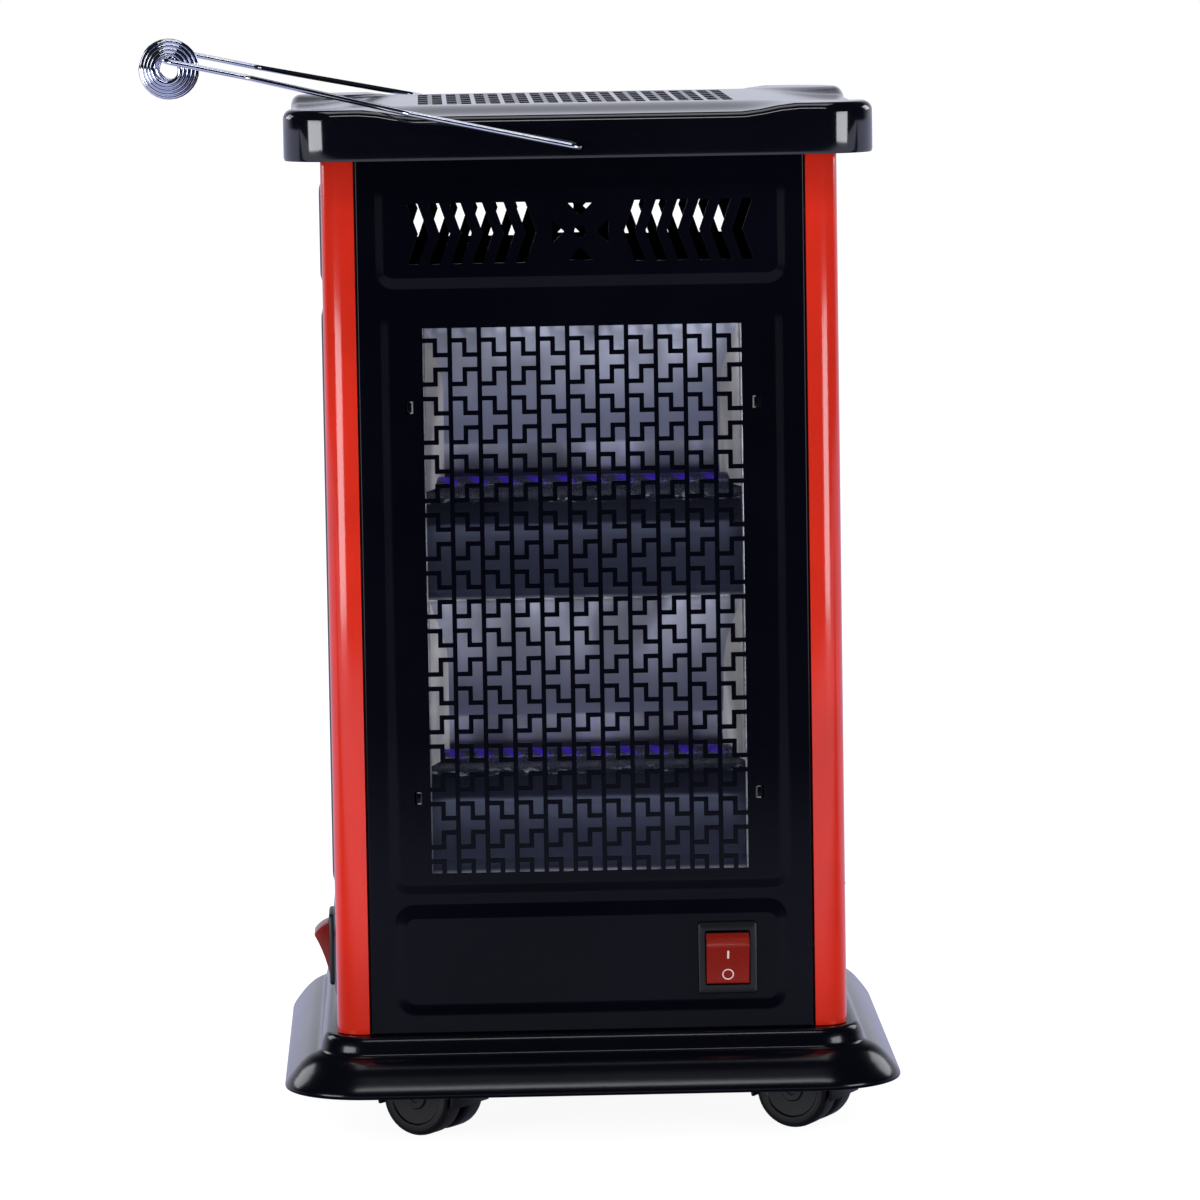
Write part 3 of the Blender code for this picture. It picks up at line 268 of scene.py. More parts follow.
class Recipe(Graph):
    """A Geometry Nodes tree with named inputs, which ends in one realised, painted mesh."""

    def __init__(self, name: str, sizes: dict[str, str]) -> None:
        """Starts a tree.

        Args:
            name: The tree's name.
            sizes: The kind of each named input.
        """
        super().__init__(bpy.data.node_groups.new(name, "GeometryNodeTree"))
        face = self.tree.interface
        self.keys = {}
        for label, kind in {"Geometry": "Geometry", **sizes, "Finish": "Material"}.items():
            socket = face.new_socket(label, in_out="INPUT", socket_type=f"NodeSocket{kind}")
            self.keys[label] = socket.identifier
        face.new_socket("Geometry", in_out="OUTPUT", socket_type="NodeSocketGeometry")
        self.entry = self.node("NodeGroupInput")

    def size(self, label: str) -> Signal:
        """A named input."""
        return Signal(self, self.entry.outputs[label])

    def vector(self, x: Any = 0.0, z: Any = 0.0) -> Node:
        """A vector along X or Z."""
        return self.node("ShaderNodeCombineXYZ", {}, {0: x, 2: z})

    def close(self, geometry: Node) -> "Recipe":
        """Ends the tree with what realises and paints a geometry.

        Args:
            geometry: The node that gives the geometry.

        Returns:
            The recipe itself.
        """
        whole = self.node("GeometryNodeRealizeInstances", {}, {0: geometry})
        inputs = {"Geometry": whole, "Material": self.size("Finish")}
        painted = self.node("GeometryNodeSetMaterial", {}, inputs)
        self.node("NodeGroupOutput", {}, {0: painted})
        return self

    def close_wire(self, line: Node) -> "Recipe":
        """Ends the tree with a round wire, whose inputs are Wire Radius and Sides.

        Args:
            line: The node that gives the wire's curve.

        Returns:
            The recipe itself.
        """
        inputs = {"Resolution": self.size("Sides"), "Radius": self.size("Wire Radius")}
        circle = self.node("GeometryNodeCurvePrimitiveCircle", {}, inputs)
        inputs = {"Curve": line, "Profile Curve": circle, "Fill Caps": True}
        return self.close(self.node("GeometryNodeCurveToMesh", {}, inputs))

    def run(self, source: Mesh, finish: "Finish", **sizes: Any) -> Mesh:
        """Makes a plain mesh.

        Args:
            source: The mesh that the tree starts from.
            finish: The surface of the result.
            sizes: A value for each named input, with underscores for spaces. Objects are used up.

        Returns:
            The tree's result.
        """
        holder = holder_of(source)
        modifier = holder.modifiers.new(self.tree.name, "NODES")
        modifier.node_group = self.tree
        for label, value in {**sizes, "Finish": finish.material()}.items():
            modifier[self.keys[label.replace("_", " ")]] = value
        return settled(holder, *(value for value in sizes.values() if isinstance(value, Item)))


# ---- finishes


@dataclass(frozen=True)
class Finish:
    """A surface: its name, the frame's slot that it belongs to, and its colour."""

    name: str
    slot: str
    color: Triple
    roughness: float

    def toned(self, tint: float | Triple, lift: float = 0.0) -> Triple:
        """The colour times a share or a tint, and then lifted."""
        shares = tint if isinstance(tint, tuple) else (tint, tint, tint)
        return tuple(min(1.0, part * share + lift) for part, share in zip(self.color, shares))

    def dress(self, paint: Paint) -> None:
        """Adds what is special to the finish. Each kind of finish has its own."""
        raise NotImplementedError

    def material(self) -> bpy.types.Material:
        """The finish's material, made at its first use.

        Returns:
            The material.
        """
        found = bpy.data.materials.get(self.name)
        if found is None:
            paint = Paint(self.name)
            self.dress(paint)
            found = paint.material
        return found


@dataclass(frozen=True)
class Enamel(Finish):
    """Stove enamel: a glossy skin with a faint ripple and dust-dull patches."""

    ripple: float = 0.0002
    gloss: float = 0.4

    def dress(self, paint: Paint) -> None:
        """Adds ripple, patchy gloss and slightly paler patches.

        Args:
            paint: The material's graph.
        """
        cloud, grain = paint.noise(14.0, 3.0), paint.noise(900.0)
        pale = self.toned(1.25, 0.0006)
        paint.set(
            Base_Color=paint.blend(cloud.ramp(0.35, 0.75), self.color, pale),
            Roughness=self.roughness + cloud * 0.05 + grain * 0.02,
            Specular_IOR_Level=self.gloss,
        )
        paint.bump(paint.noise(260.0) + grain * 0.15, self.ripple, 0.05)


@dataclass(frozen=True)
class Moulding(Finish):
    """Moulded plastic with a fine satin texture."""

    texture: float = 0.00003

    def dress(self, paint: Paint) -> None:
        """Adds the texture of the mould and a little unevenness.

        Args:
            paint: The material's graph.
        """
        grain, cloud = paint.noise(2600.0), paint.noise(30.0)
        pale = self.toned(1.4, 0.002)
        paint.set(
            Base_Color=paint.blend(cloud.ramp(0.4, 0.8), self.color, pale),
            Roughness=self.roughness + grain * 0.08 + cloud * 0.05,
        )
        paint.bump(grain, self.texture)


@dataclass(frozen=True)
class Plated(Finish):
    """Bright plating with a tint that varies."""

    cool: Triple = (0.72, 0.76, 0.95)

    def dress(self, paint: Paint) -> None:
        """Adds the cool tint and a little unevenness.

        Args:
            paint: The material's graph.
        """
        cloud = paint.noise(60.0)
        paint.set(
            Base_Color=paint.blend(cloud.ramp(0.3, 0.7), self.color, self.toned(self.cool)),
            Roughness=self.roughness + cloud * 0.05,
            Metallic=1.0,
        )


@dataclass(frozen=True)
class RolledSheet(Finish):
    """Bright rolled metal with soft upright bands, light dents, dark patches that stand partly for
    smoke and partly for painted reflection, and in troughs painted shade by height.
    """

    smoke: float = 0.8
    metal: float = 0.92
    troughs: Flat | None = None
    # Shares of the colour for the painted shade below the tubes and the dimmer painted reflection
    # above them.
    below_tube: Triple = (0.10, 0.11, 0.16)
    above_tube: Triple = (0.40, 0.41, 0.48)

    def dress(self, paint: Paint) -> None:
        """Adds bands, dents, dark patches of smoke and painted reflection, and in troughs painted
        shade by height.

        Args:
            paint: The material's graph.
        """
        bands, dents = paint.noise(38.0, 2.0, (1.0, 1.0, 0.12)), paint.noise(26.0)
        # Dark patches that stand partly for smoke and partly for painted reflection.
        soot_and_reflection = paint.noise(15.0, 3.0, (1.0, 1.0, 0.6)).ramp(0.54, 0.64) * self.smoke
        tone = paint.blend(bands.ramp(0.36, 0.62), self.toned(0.48), self.color)
        tone = paint.blend(soot_and_reflection, tone, self.toned(0.25))
        # In troughs the sheet gets painted shade by height.
        if self.troughs is not None:
            tone = self.smoked(paint, tone)
        roughness = self.roughness + paint.noise(900.0) * 0.06
        paint.set(Base_Color=tone, Roughness=roughness, Metallic=self.metal)
        paint.bump(dents, 0.0004)

    def smoked(self, paint: Paint, tone: Socket) -> Socket:
        """Paints shade by height in each trough: dark below its tube except for a thin strip at the
        lower lip, and dimmer from a little above the tube, fading out towards the upper lip, so
        that the strip and the band just above the tube stand out as painted highlights.

        Args:
            paint: The material's graph.
            tone: The clean sheet's colour.

        Returns:
            The colour with painted shade by height in the trough.
        """
        share = paint.trough_share(*self.troughs)
        lower = share.ramp(0.47, 0.44) * share.ramp(0.0, 0.015)
        upper = paint.blend(share.ramp(0.545, 0.56), tone, self.toned(self.above_tube))
        upper = paint.blend(share.ramp(0.62, 0.95), upper, tone)
        return paint.blend(lower, upper, self.toned(self.below_tube))


@dataclass(frozen=True)
class FrostedQuartz(Finish):
    """Dark milky quartz with painted violet glints along its top and a painted bright reflection
    with sparkles along its foot.
    """

    glint_pitch: float = 12.45 * MM
    violet: Triple = (0.09, 0.02, 0.75)
    # Colour of the painted reflection along the tube's foot.
    rime: Triple = (0.62, 0.72, 0.78)
    troughs: Flat = (0.0, 1.0)

    def dress(self, paint: Paint) -> None:
        """Adds milk, the row of painted glints and the painted reflection along the foot.

        Args:
            paint: The material's graph.
        """
        share = paint.trough_share(*self.troughs)
        milk, patch = paint.noise(90.0, 3.0), paint.noise(40.0).ramp(0.40, 0.62)
        # Painted violet glints along the top of each tube, one per grille column.
        along = (paint.axis("X") + paint.axis("Y")) * (2.0 * math.pi / self.glint_pitch)
        wave = (along.math("SINE") * 0.5 + 0.5).math("POWER", 2.0)
        glints = paint.blend(wave * share.ramp(0.395, 0.425), self.color, self.violet)
        # Painted reflection with sparkles along the foot of each tube, in random patches.
        painted_foot_reflection = paint.noise(520.0, 3.0, (0.5, 0.5, 1.0)).ramp(0.52, 0.66) * share.ramp(0.375, 0.345)
        paint.set(
            Base_Color=paint.blend(painted_foot_reflection * patch, glints, self.rime),
            Roughness=self.roughness + milk * 0.2,
            Alpha=0.62 + milk * 0.25 + painted_foot_reflection * 0.2,
        )
        paint.bump(milk + painted_foot_reflection * 0.4, 0.0003)


@dataclass(frozen=True)
class Fired(Finish):
    """Unglazed ceramic: chalky and a little speckled."""

    def dress(self, paint: Paint) -> None:
        """Adds specks and a chalky skin.

        Args:
            paint: The material's graph.
        """
        specks, cloud = paint.noise(1400.0), paint.noise(70.0, 3.0)
        paint.set(
            Base_Color=paint.blend(cloud.ramp(0.4, 0.8), self.color, self.toned(0.72)),
            Roughness=self.roughness + specks * 0.12,
        )
        paint.bump(specks, 0.0001)


NEAR_BLACK = (0.0012, 0.0014, 0.0036)
BLACK_ENAMEL = Enamel("black_stove_enamel", "black_enamel", NEAR_BLACK, 0.05, gloss=0.8)
PANEL_ENAMEL = Enamel("panel_stove_enamel", "black_enamel", NEAR_BLACK, 0.10, gloss=0.12)
RED_ENAMEL = Enamel("red_stove_enamel", "red_enamel", (0.62, 0.022, 0.008), 0.10, gloss=0.6)
PAN_GLOSS = Enamel("pan_black_gloss", "pan_plastic", (0.0012, 0.0014, 0.0034), 0.14)
BLACK_SATIN = Moulding("black_satin_moulding", "black_plastic", (0.004, 0.004, 0.006), 0.30)
WHEEL_BLACK = Moulding("wheel_black_nylon", "wheel_nylon", (0.003, 0.003, 0.005), 0.32)
ROCKER_RED = Moulding("rocker_red", "red_plastic", (0.25, 0.010, 0.004), 0.20, texture=0.00001)
MARK_WHITE = Moulding("mark_white", "red_plastic", (0.86, 0.68, 0.66), 0.5)
CHROME = Plated("handle_chrome", "chrome", (0.86, 0.87, 0.93), 0.03)
WIRE_GREY = Plated("element_wire", "quartz", (0.30, 0.28, 0.30), 0.35)
# The reflector behind the grille gets painted shade by height in its troughs.
SIDE_SHEET = RolledSheet(
    "reflector_sheet", "bright_aluminium", (0.86, 0.88, 1.0), 0.30, metal=0.7, troughs=TROUGHS
)
TOP_SHEET = RolledSheet("top_reflector_sheet", "bright_aluminium", (0.60, 0.61, 0.66), 0.25)
LINER = RolledSheet(
    "trough_end_sheet", "bright_aluminium", (0.95, 0.92, 0.88), 0.40, smoke=0.1, metal=0.15
)
CHEEK = RolledSheet(
    "window_cheek", "bright_aluminium", (0.92, 0.93, 0.98), 0.25, smoke=0.7, metal=0.5
)
ZINC = RolledSheet("zinc_sheet", "zinc_steel", (0.50, 0.51, 0.53), 0.32, smoke=0.2)
QUARTZ = FrostedQuartz("frosted_quartz", "quartz", (0.035, 0.04, 0.06), 0.12, troughs=TROUGHS)
CERAMIC = Fired("cream_ceramic", "ceramic", (0.80, 0.77, 0.68), 0.55)


# ---- meshes


def arc(centre: Flat, radius: float, start: float, end: float, steps: int) -> Loop:
    """Points on an arc between two angles in degrees, both ends included."""
    turns = [math.radians(start + (end - start) * i / steps) for i in range(steps + 1)]
    return [(centre[0] + radius * math.cos(t), centre[1] + radius * math.sin(t)) for t in turns]


def circle(centre: Flat, radius: float, points: int = 24) -> Loop:
    """A closed circle of this many points."""
    return arc(centre, radius, 0, 360 * (points - 1) / points, points - 1)


def rectangle(left: float, low: float, right: float, high: float) -> Loop:
    """A rectangle's corners, from the lower left one round to the upper left one."""
    return [(left, low), (right, low), (right, high), (left, high)]


def rounded(half: float, low: float, high: float, radius: float, steps: int) -> Loop:
    """A rectangle with round corners, centred across.

    Args:
        half: Half its width.
        low: Its lower edge.
        high: Its upper edge.
        radius: The corners' radius.
        steps: How many pieces each corner is cut into.

    Returns:
        The outline.
    """
    loop: Loop = []
    levels = (high - radius, high - radius, low + radius, low + radius)
    for start, sign, level in zip((0, 90, 180, 270), (1, -1, -1, 1), levels):
        loop += arc((sign * (half - radius), level), radius, start, start + 90, steps)
    return loop


def eased(value: float) -> float:
    """Holds a value between 0 and 1 and eases both of its ends."""
    share = min(max(value, 0.0), 1.0)
    return share * share * (3 - 2 * share)


def smoothed(points: Sequence[Flat], cuts: int) -> Loop:
    """A smooth line through points.

    Args:
        points: The points, in order.
        cuts: How many pieces each stretch is cut into.

    Returns:
        The line's points.
    """
    line: Loop = []
    last = len(points) - 1
    for i in range(last):
        a, b, c, d = (Vector(points[max(0, min(last, k))]) for k in range(i - 1, i + 3))
        for t in (k / cuts for k in range(cuts)):
            value = 0.5 * (
                2 * b
                + (c - a) * t
                + (2 * a - 5 * b + 4 * c - d) * t * t
                + (3 * b - a - 3 * c + d) * t * t * t
            )
            line.append((value.x, value.y))
    return [*line, points[-1]]


def bridge(bm: Skin, first: Sequence, second: Sequence, ring: bool = True) -> None:
    """Fills the band between two rows of vertices.

    Args:
        bm: The skin that holds them.
        first: One row.
        second: The other row, of the same length.
        ring: Whether each row's end meets its start.
    """
    for i in range(len(first) if ring else len(first) - 1):
        j = (i + 1) % len(first)
        bm.faces.new((first[i], first[j], second[j], second[i]))


def skin(rings: Iterable[Iterable[Vector]], closed: bool = False, caps: bool = False) -> Skin:
    """A skin over rings of equal length, with its faces pointing one way.

    Args:
        rings: The rings, in order.
        closed: Whether the last ring meets the first.
        caps: Whether both ends are filled.

    Returns:
        The skin.
    """
    bm = bmesh.new()
    loops = [[bm.verts.new(point) for point in ring] for ring in rings]
    for low, high in zip(loops, loops[1:] + loops[:1] * closed):
        bridge(bm, low, high)
    if caps:
        bm.faces.new(loops[0])
        bm.faces.new(loops[-1])
    bmesh.ops.recalc_face_normals(bm, faces=bm.faces)
    return bm


def as_mesh(bm: Skin, name: str = "work") -> Mesh:
    """Turns a skin into a mesh and frees it.

    Args:
        bm: The skin.
        name: The mesh's name.

    Returns:
        The mesh.
    """
    mesh = bpy.data.meshes.new(name)
    bm.to_mesh(mesh)
    bm.free()
    return mesh


def prism(outline: Sequence[Flat], low: float, high: float, along: Along) -> Mesh:
    """An outline drawn out between two levels along an axis."""
    rings = [[along.place(u, v, at) for u, v in outline] for at in (low, high)]
    return as_mesh(skin(rings, caps=True))


def lathe(profile: Sequence[Flat], sides: int, along: Along, centre: Triple = (0, 0, 0)) -> Mesh:
    """A turned ring.

    Args:
        profile: Radius and place along the axis, in order. Its end meets its start.
        sides: How many sides the turning has.
        along: The axis.
        centre: Where the profile's zero lies.

    Returns:
        The turned mesh.
    """
    turns = [2 * math.pi * (i + 0.5) / sides for i in range(sides)]
    bm = skin(
        [[along.place(r * math.sin(t), -r * math.cos(t), at) for t in turns] for r, at in profile],
        closed=True,
    )
    bmesh.ops.translate(bm, verts=bm.verts, vec=centre)
    return as_mesh(bm)


def open_sheet(bm: Skin, towards: Triple, weld: float = WELD) -> Mesh:
    """Welds an open skin and turns its faces to one side.

    Args:
        bm: The skin.
        towards: The direction that most of its area looks in.
        weld: Vertices closer than this become one.

    Returns:
        The mesh.
    """
    bmesh.ops.remove_doubles(bm, verts=bm.verts, dist=weld)
    bmesh.ops.recalc_face_normals(bm, faces=bm.faces)
    aim = Vector(towards)
    if sum(face.normal.dot(aim) * face.calc_area() for face in bm.faces) < 0:
        bmesh.ops.reverse_faces(bm, faces=bm.faces)
    return as_mesh(bm)


def holder_of(mesh: Mesh) -> Item:
    """An object for a mesh, linked to the scene.

    Args:
        mesh: The mesh.

    Returns:
        The object.
    """
    item = bpy.data.objects.new(mesh.name, mesh)
    bpy.context.scene.collection.objects.link(item)
    return item


def settled(item: Item, *tools: Item) -> Mesh:
    """The mesh that an object's modifiers give. The object and its tools are removed.

    Args:
        item: The object.
        tools: What its modifiers use.

    Returns:
        The mesh.
    """
    bpy.context.view_layer.update()
    graph = bpy.context.evaluated_depsgraph_get()
    mesh = bpy.data.meshes.new_from_object(item.evaluated_get(graph))
    for spent in (item, *tools):
        bpy.data.objects.remove(spent, do_unlink=True)
    return mesh


def modify(item: Item, kind: str, **settings: Any) -> None:
    """Adds a modifier.

    Args:
        item: The object.
        kind: The modifier's type.
        settings: Its settings.
    """
    modifier = item.modifiers.new(kind.lower(), kind)
    for name, value in settings.items():
        setattr(modifier, name, value)


def refined(
    mesh: Mesh,
    wall: float = 0.0,
    bevel: float = 0.0,
    segments: int = 2,
    cutters: Iterable[Mesh] = (),
    angle: float = 40.0,
) -> Mesh:
    """Thickens, cuts and bevels a mesh.

    Args:
        mesh: The mesh to work on.
        wall: Sheet thickness, laid inwards.
        bevel: Width of the bevel on sharp edges.
        segments: Steps of the bevel.
        cutters: Closed meshes to cut away.
        angle: The least angle of an edge that is bevelled, in degrees.

    Returns:
        The finished mesh.
    """
    item = holder_of(mesh)
    tools = [holder_of(cutter) for cutter in cutters]
    if wall:
        modify(item, "SOLIDIFY", thickness=wall, offset=-1.0, use_even_offset=True)
    for tool in tools:
        modify(item, "BOOLEAN", object=tool)
    if bevel:
        limit = {"limit_method": "ANGLE", "angle_limit": math.radians(angle)}
        modify(item, "BEVEL", width=bevel, segments=segments, use_clamp_overlap=True, **limit)
    return settled(item, *tools)


def merged(parts: Iterable[Mesh]) -> Mesh:
    """One mesh made of several, which are used up.

    Args:
        parts: The meshes.

    Returns:
        The mesh.
    """
    whole = bmesh.new()
    for part in parts:
        whole.from_mesh(part)
        bpy.data.meshes.remove(part)
    return as_mesh(whole)


def show(
    name: str,
    mesh: Mesh,
    finish: Finish,
    body: str = CHASSIS,
    stands_for: Sequence[str] = (),
    turn: Matrix | None = None,
    angle: float = 32.0,
) -> None:
    """Puts a finished piece into the scene.

    Args:
        name: The piece's name.
        mesh: Its mesh, of which the piece gets a copy.
        finish: Its surface.
        body: The frame's body that it rides on.
        stands_for: Nodes of the frame that it replaces.
        turn: A turn for the copy.
        angle: Edges sharper than this stay sharp.
    """
    own = mesh.copy()
    own.name = name
    own.transform(turn or Matrix())
    own.shade_smooth()
    own.set_sharp_from_angle(angle=math.radians(angle))
    own.materials.clear()
    own.materials.append(finish.material())
    own.polygons.foreach_set("material_index", [0] * len(own.polygons))
    piece = holder_of(own)
    piece.name = name
    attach(piece, body)
    if stands_for:
        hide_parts(*stands_for)
    LOG.info("%s: %d faces, on %s", name, len(own.polygons), body)


def dress_node(node: str, finish: Finish) -> None:
    """Gives a solid of the frame its finish.

    Args:
        node: The node's name.
        finish: Its surface.
    """
    item = bpy.data.objects[node]
    item.data.materials.clear()
    item.data.materials.append(finish.material())
    LOG.info("%s: dressed", node)


# ---- repeated shapes


def punching_recipe() -> Recipe:
    """Fills a frame of outlines and leaves rows of holes in it.

    Returns:
        The tree.
    """
    kinds = {"Frame": "Object", "Hole": "Object", "Count": "Int", "Start": "Float"}
    tree = Recipe("punched_sheet", {**kinds, "Pitch": "Float", "Mirrored": "Bool"})
    start, pitch = (tree.vector(tree.size(label)) for label in ("Start", "Pitch"))
    inputs = {"Count": tree.size("Count"), "Start Location": start, "Offset": pitch}
    row = tree.node("GeometryNodeMeshLine", {"mode": "OFFSET"}, inputs)
    rim, hole = (
        tree.node("GeometryNodeObjectInfo", {}, {"Object": tree.size(label)}).outputs["Geometry"]
        for label in ("Frame", "Hole")
    )
    holes = tree.node("GeometryNodeInstanceOnPoints", {}, {"Points": row, "Instance": hole})
    loose = tree.node("GeometryNodeRealizeInstances", {}, {0: holes})
    flipped = tree.node("GeometryNodeTransform", {}, {"Geometry": loose, "Scale": (-1, 1, 1)})
    inputs = {"Switch": tree.size("Mirrored"), "True": flipped}
    mirror = tree.node("GeometryNodeSwitch", {"input_type": "GEOMETRY"}, inputs)
    gathered = tree.node("GeometryNodeJoinGeometry")
    for source in (rim, loose, mirror):
        tree.feed(gathered.inputs[0], source)
    lines = tree.node("GeometryNodeMeshToCurve", {}, {0: gathered})
    return tree.close(tree.node("GeometryNodeFillCurve", {"mode": "NGONS"}, {"Curve": lines}))


def winding_recipe() -> Recipe:
    """Winds a wire into an even coil along Z, centred on zero.

    Returns:
        The tree.
    """
    kinds = {"Turns": "Float", "Length": "Float", "Coil Radius": "Float", "Wire Radius": "Float"}
    tree = Recipe("wound_wire", {**kinds, "Points": "Int", "Sides": "Int"})
    labels = {
        "Resolution": "Points",
        "Rotations": "Turns",
        "Start Radius": "Coil Radius",
        "End Radius": "Coil Radius",
        "Height": "Length",
    }
    inputs = {name: tree.size(label) for name, label in labels.items()}
    spiral = tree.node("GeometryNodeCurveSpiral", {}, inputs)
    inputs = {"Geometry": spiral, "Translation": tree.vector(z=tree.size("Length") * -0.5)}
    return tree.close_wire(tree.node("GeometryNodeTransform", {}, inputs))


def wire_recipe() -> Recipe:
    """Draws a round wire along the edges of the mesh that it is given."""
    tree = Recipe("drawn_wire", {"Wire Radius": "Float", "Sides": "Int"})
    return tree.close_wire(tree.node("GeometryNodeMeshToCurve", {}, {0: tree.size("Geometry")}))


def outlines_object(loops: Iterable[Sequence[Flat]]) -> Item:
    """An object whose edges are closed outlines.

    Args:
        loops: The outlines, in X and Y.

    Returns:
        The object.
    """
    bm = bmesh.new()
    for loop in loops:
        verts = [bm.verts.new((u, v, 0.0)) for u, v in loop]
        for pair in zip(verts, verts[1:] + verts[:1]):
            bm.edges.new(pair)
    return holder_of(as_mesh(bm))


class Workshop:
    """The recipes, each built once."""

    def __init__(self) -> None:
        """Builds the trees."""
        self.punching, self.winding, self.wire = punching_recipe(), winding_recipe(), wire_recipe()

    def punched(self, rims: Sequence[Loop], holes: Sequence[Loop], **rows: Any) -> Mesh:
        """A flat sheet in X and Y with rows of holes.

        Args:
            rims: The sheet's outline and its single holes.
            holes: The outlines that repeat.
            rows: Their Count, Start, Pitch and Mirrored.

        Returns:
            The flat sheet.
        """
        loops = {"Frame": outlines_object(rims), "Hole": outlines_object(holes)}
        return self.punching.run(bpy.data.meshes.new("carrier"), BLACK_ENAMEL, **loops, **rows)


@dataclass
class Grille:
    """A window of interlocking T-shaped holes, in columns two cells wide."""

    low: float
    high: float
    rows: int
    half: float = WINDOW_HALF
    columns: int = 11
    web: float = 1.95 * MM

    def column(self, wide: float) -> list[Loop]:
        """One column of holes, from its left edge.

        Args:
            wide: A cell's width.

        Returns:
            The holes' outlines.
        """
        tall, rows = (self.high - self.low) / self.rows, self.rows
        web, inset = self.web, self.web / 2
        loops = []
        for row in range(0, rows + 1, 2):
            across = 1 if row % 4 == 2 else -1
            first, last = max(row - 1, 0), min(row + 1, rows - 1)
            top = self.high - first * tall - inset
            bottom = self.high - (last + 1) * tall + inset
            near = inset if across == 1 else 2 * wide - inset
            far, tip = (near + across * (cells * wide - web) for cells in (1, 2))
            loop = [(near, bottom), (far, bottom)]
            if row < rows:
                above, below = self.high - row * tall - inset, self.high - (row + 1) * tall + inset
                loop += [(far, below), (tip, below), (tip, above)]
                loop += [(far, above), (far, top)] if first < row else []
            else:
                loop.append((far, top))
            loops.append([*loop, (near, top)])
        return loops

    def sheet(self, shop: Workshop, rims: Sequence[Loop]) -> Mesh:
        """The punched sheet inside a rim.

        Args:
            shop: The recipes.
            rims: The sheet's outline and its single holes.

        Returns:
            The flat sheet.
        """
        wide = self.half / self.columns
        row = {"Count": self.columns, "Start": -self.half, "Pitch": 2 * wide}
        return shop.punched(rims, self.column(wide), **row)


# ---- sheet metal


@dataclass
class EmbossedField:
    """A field that is pressed out of a panel."""

    half: float
    low: float
    high: float
    radius: float = 9 * MM
    rise: float = 1.5 * MM
    shoulder: float = 6.0 * MM
    ease: float = 0.25
    lap: float = 0.25 * MM

    def loop(self, inset: float) -> Loop:
        """The field's outline, drawn in by an inset."""
        radius = max(self.radius - inset, 0.8 * MM)
        return rounded(self.half - inset, self.low + inset, self.high - inset, radius, 6)

    def levels(self) -> list[Flat]:
        """The rings across the shoulder, from outside in.

        Returns:
            Inset and height of each.
        """
        ease = self.ease
        half = 1 / (2 * ease * (1 - ease))
        rings = [(-self.lap, 0.0)]
        for share in (0, ease / 3, 2 * ease / 3, ease, 1 - ease, 1 - 2 * ease / 3, 1 - ease / 3, 1):
            climb = half * share * share if share <= ease else 1 - half * (1 - share) ** 2
            rings.append((share * self.shoulder, self.rise * climb))
        return [*rings, (self.shoulder + self.lap, self.rise)]


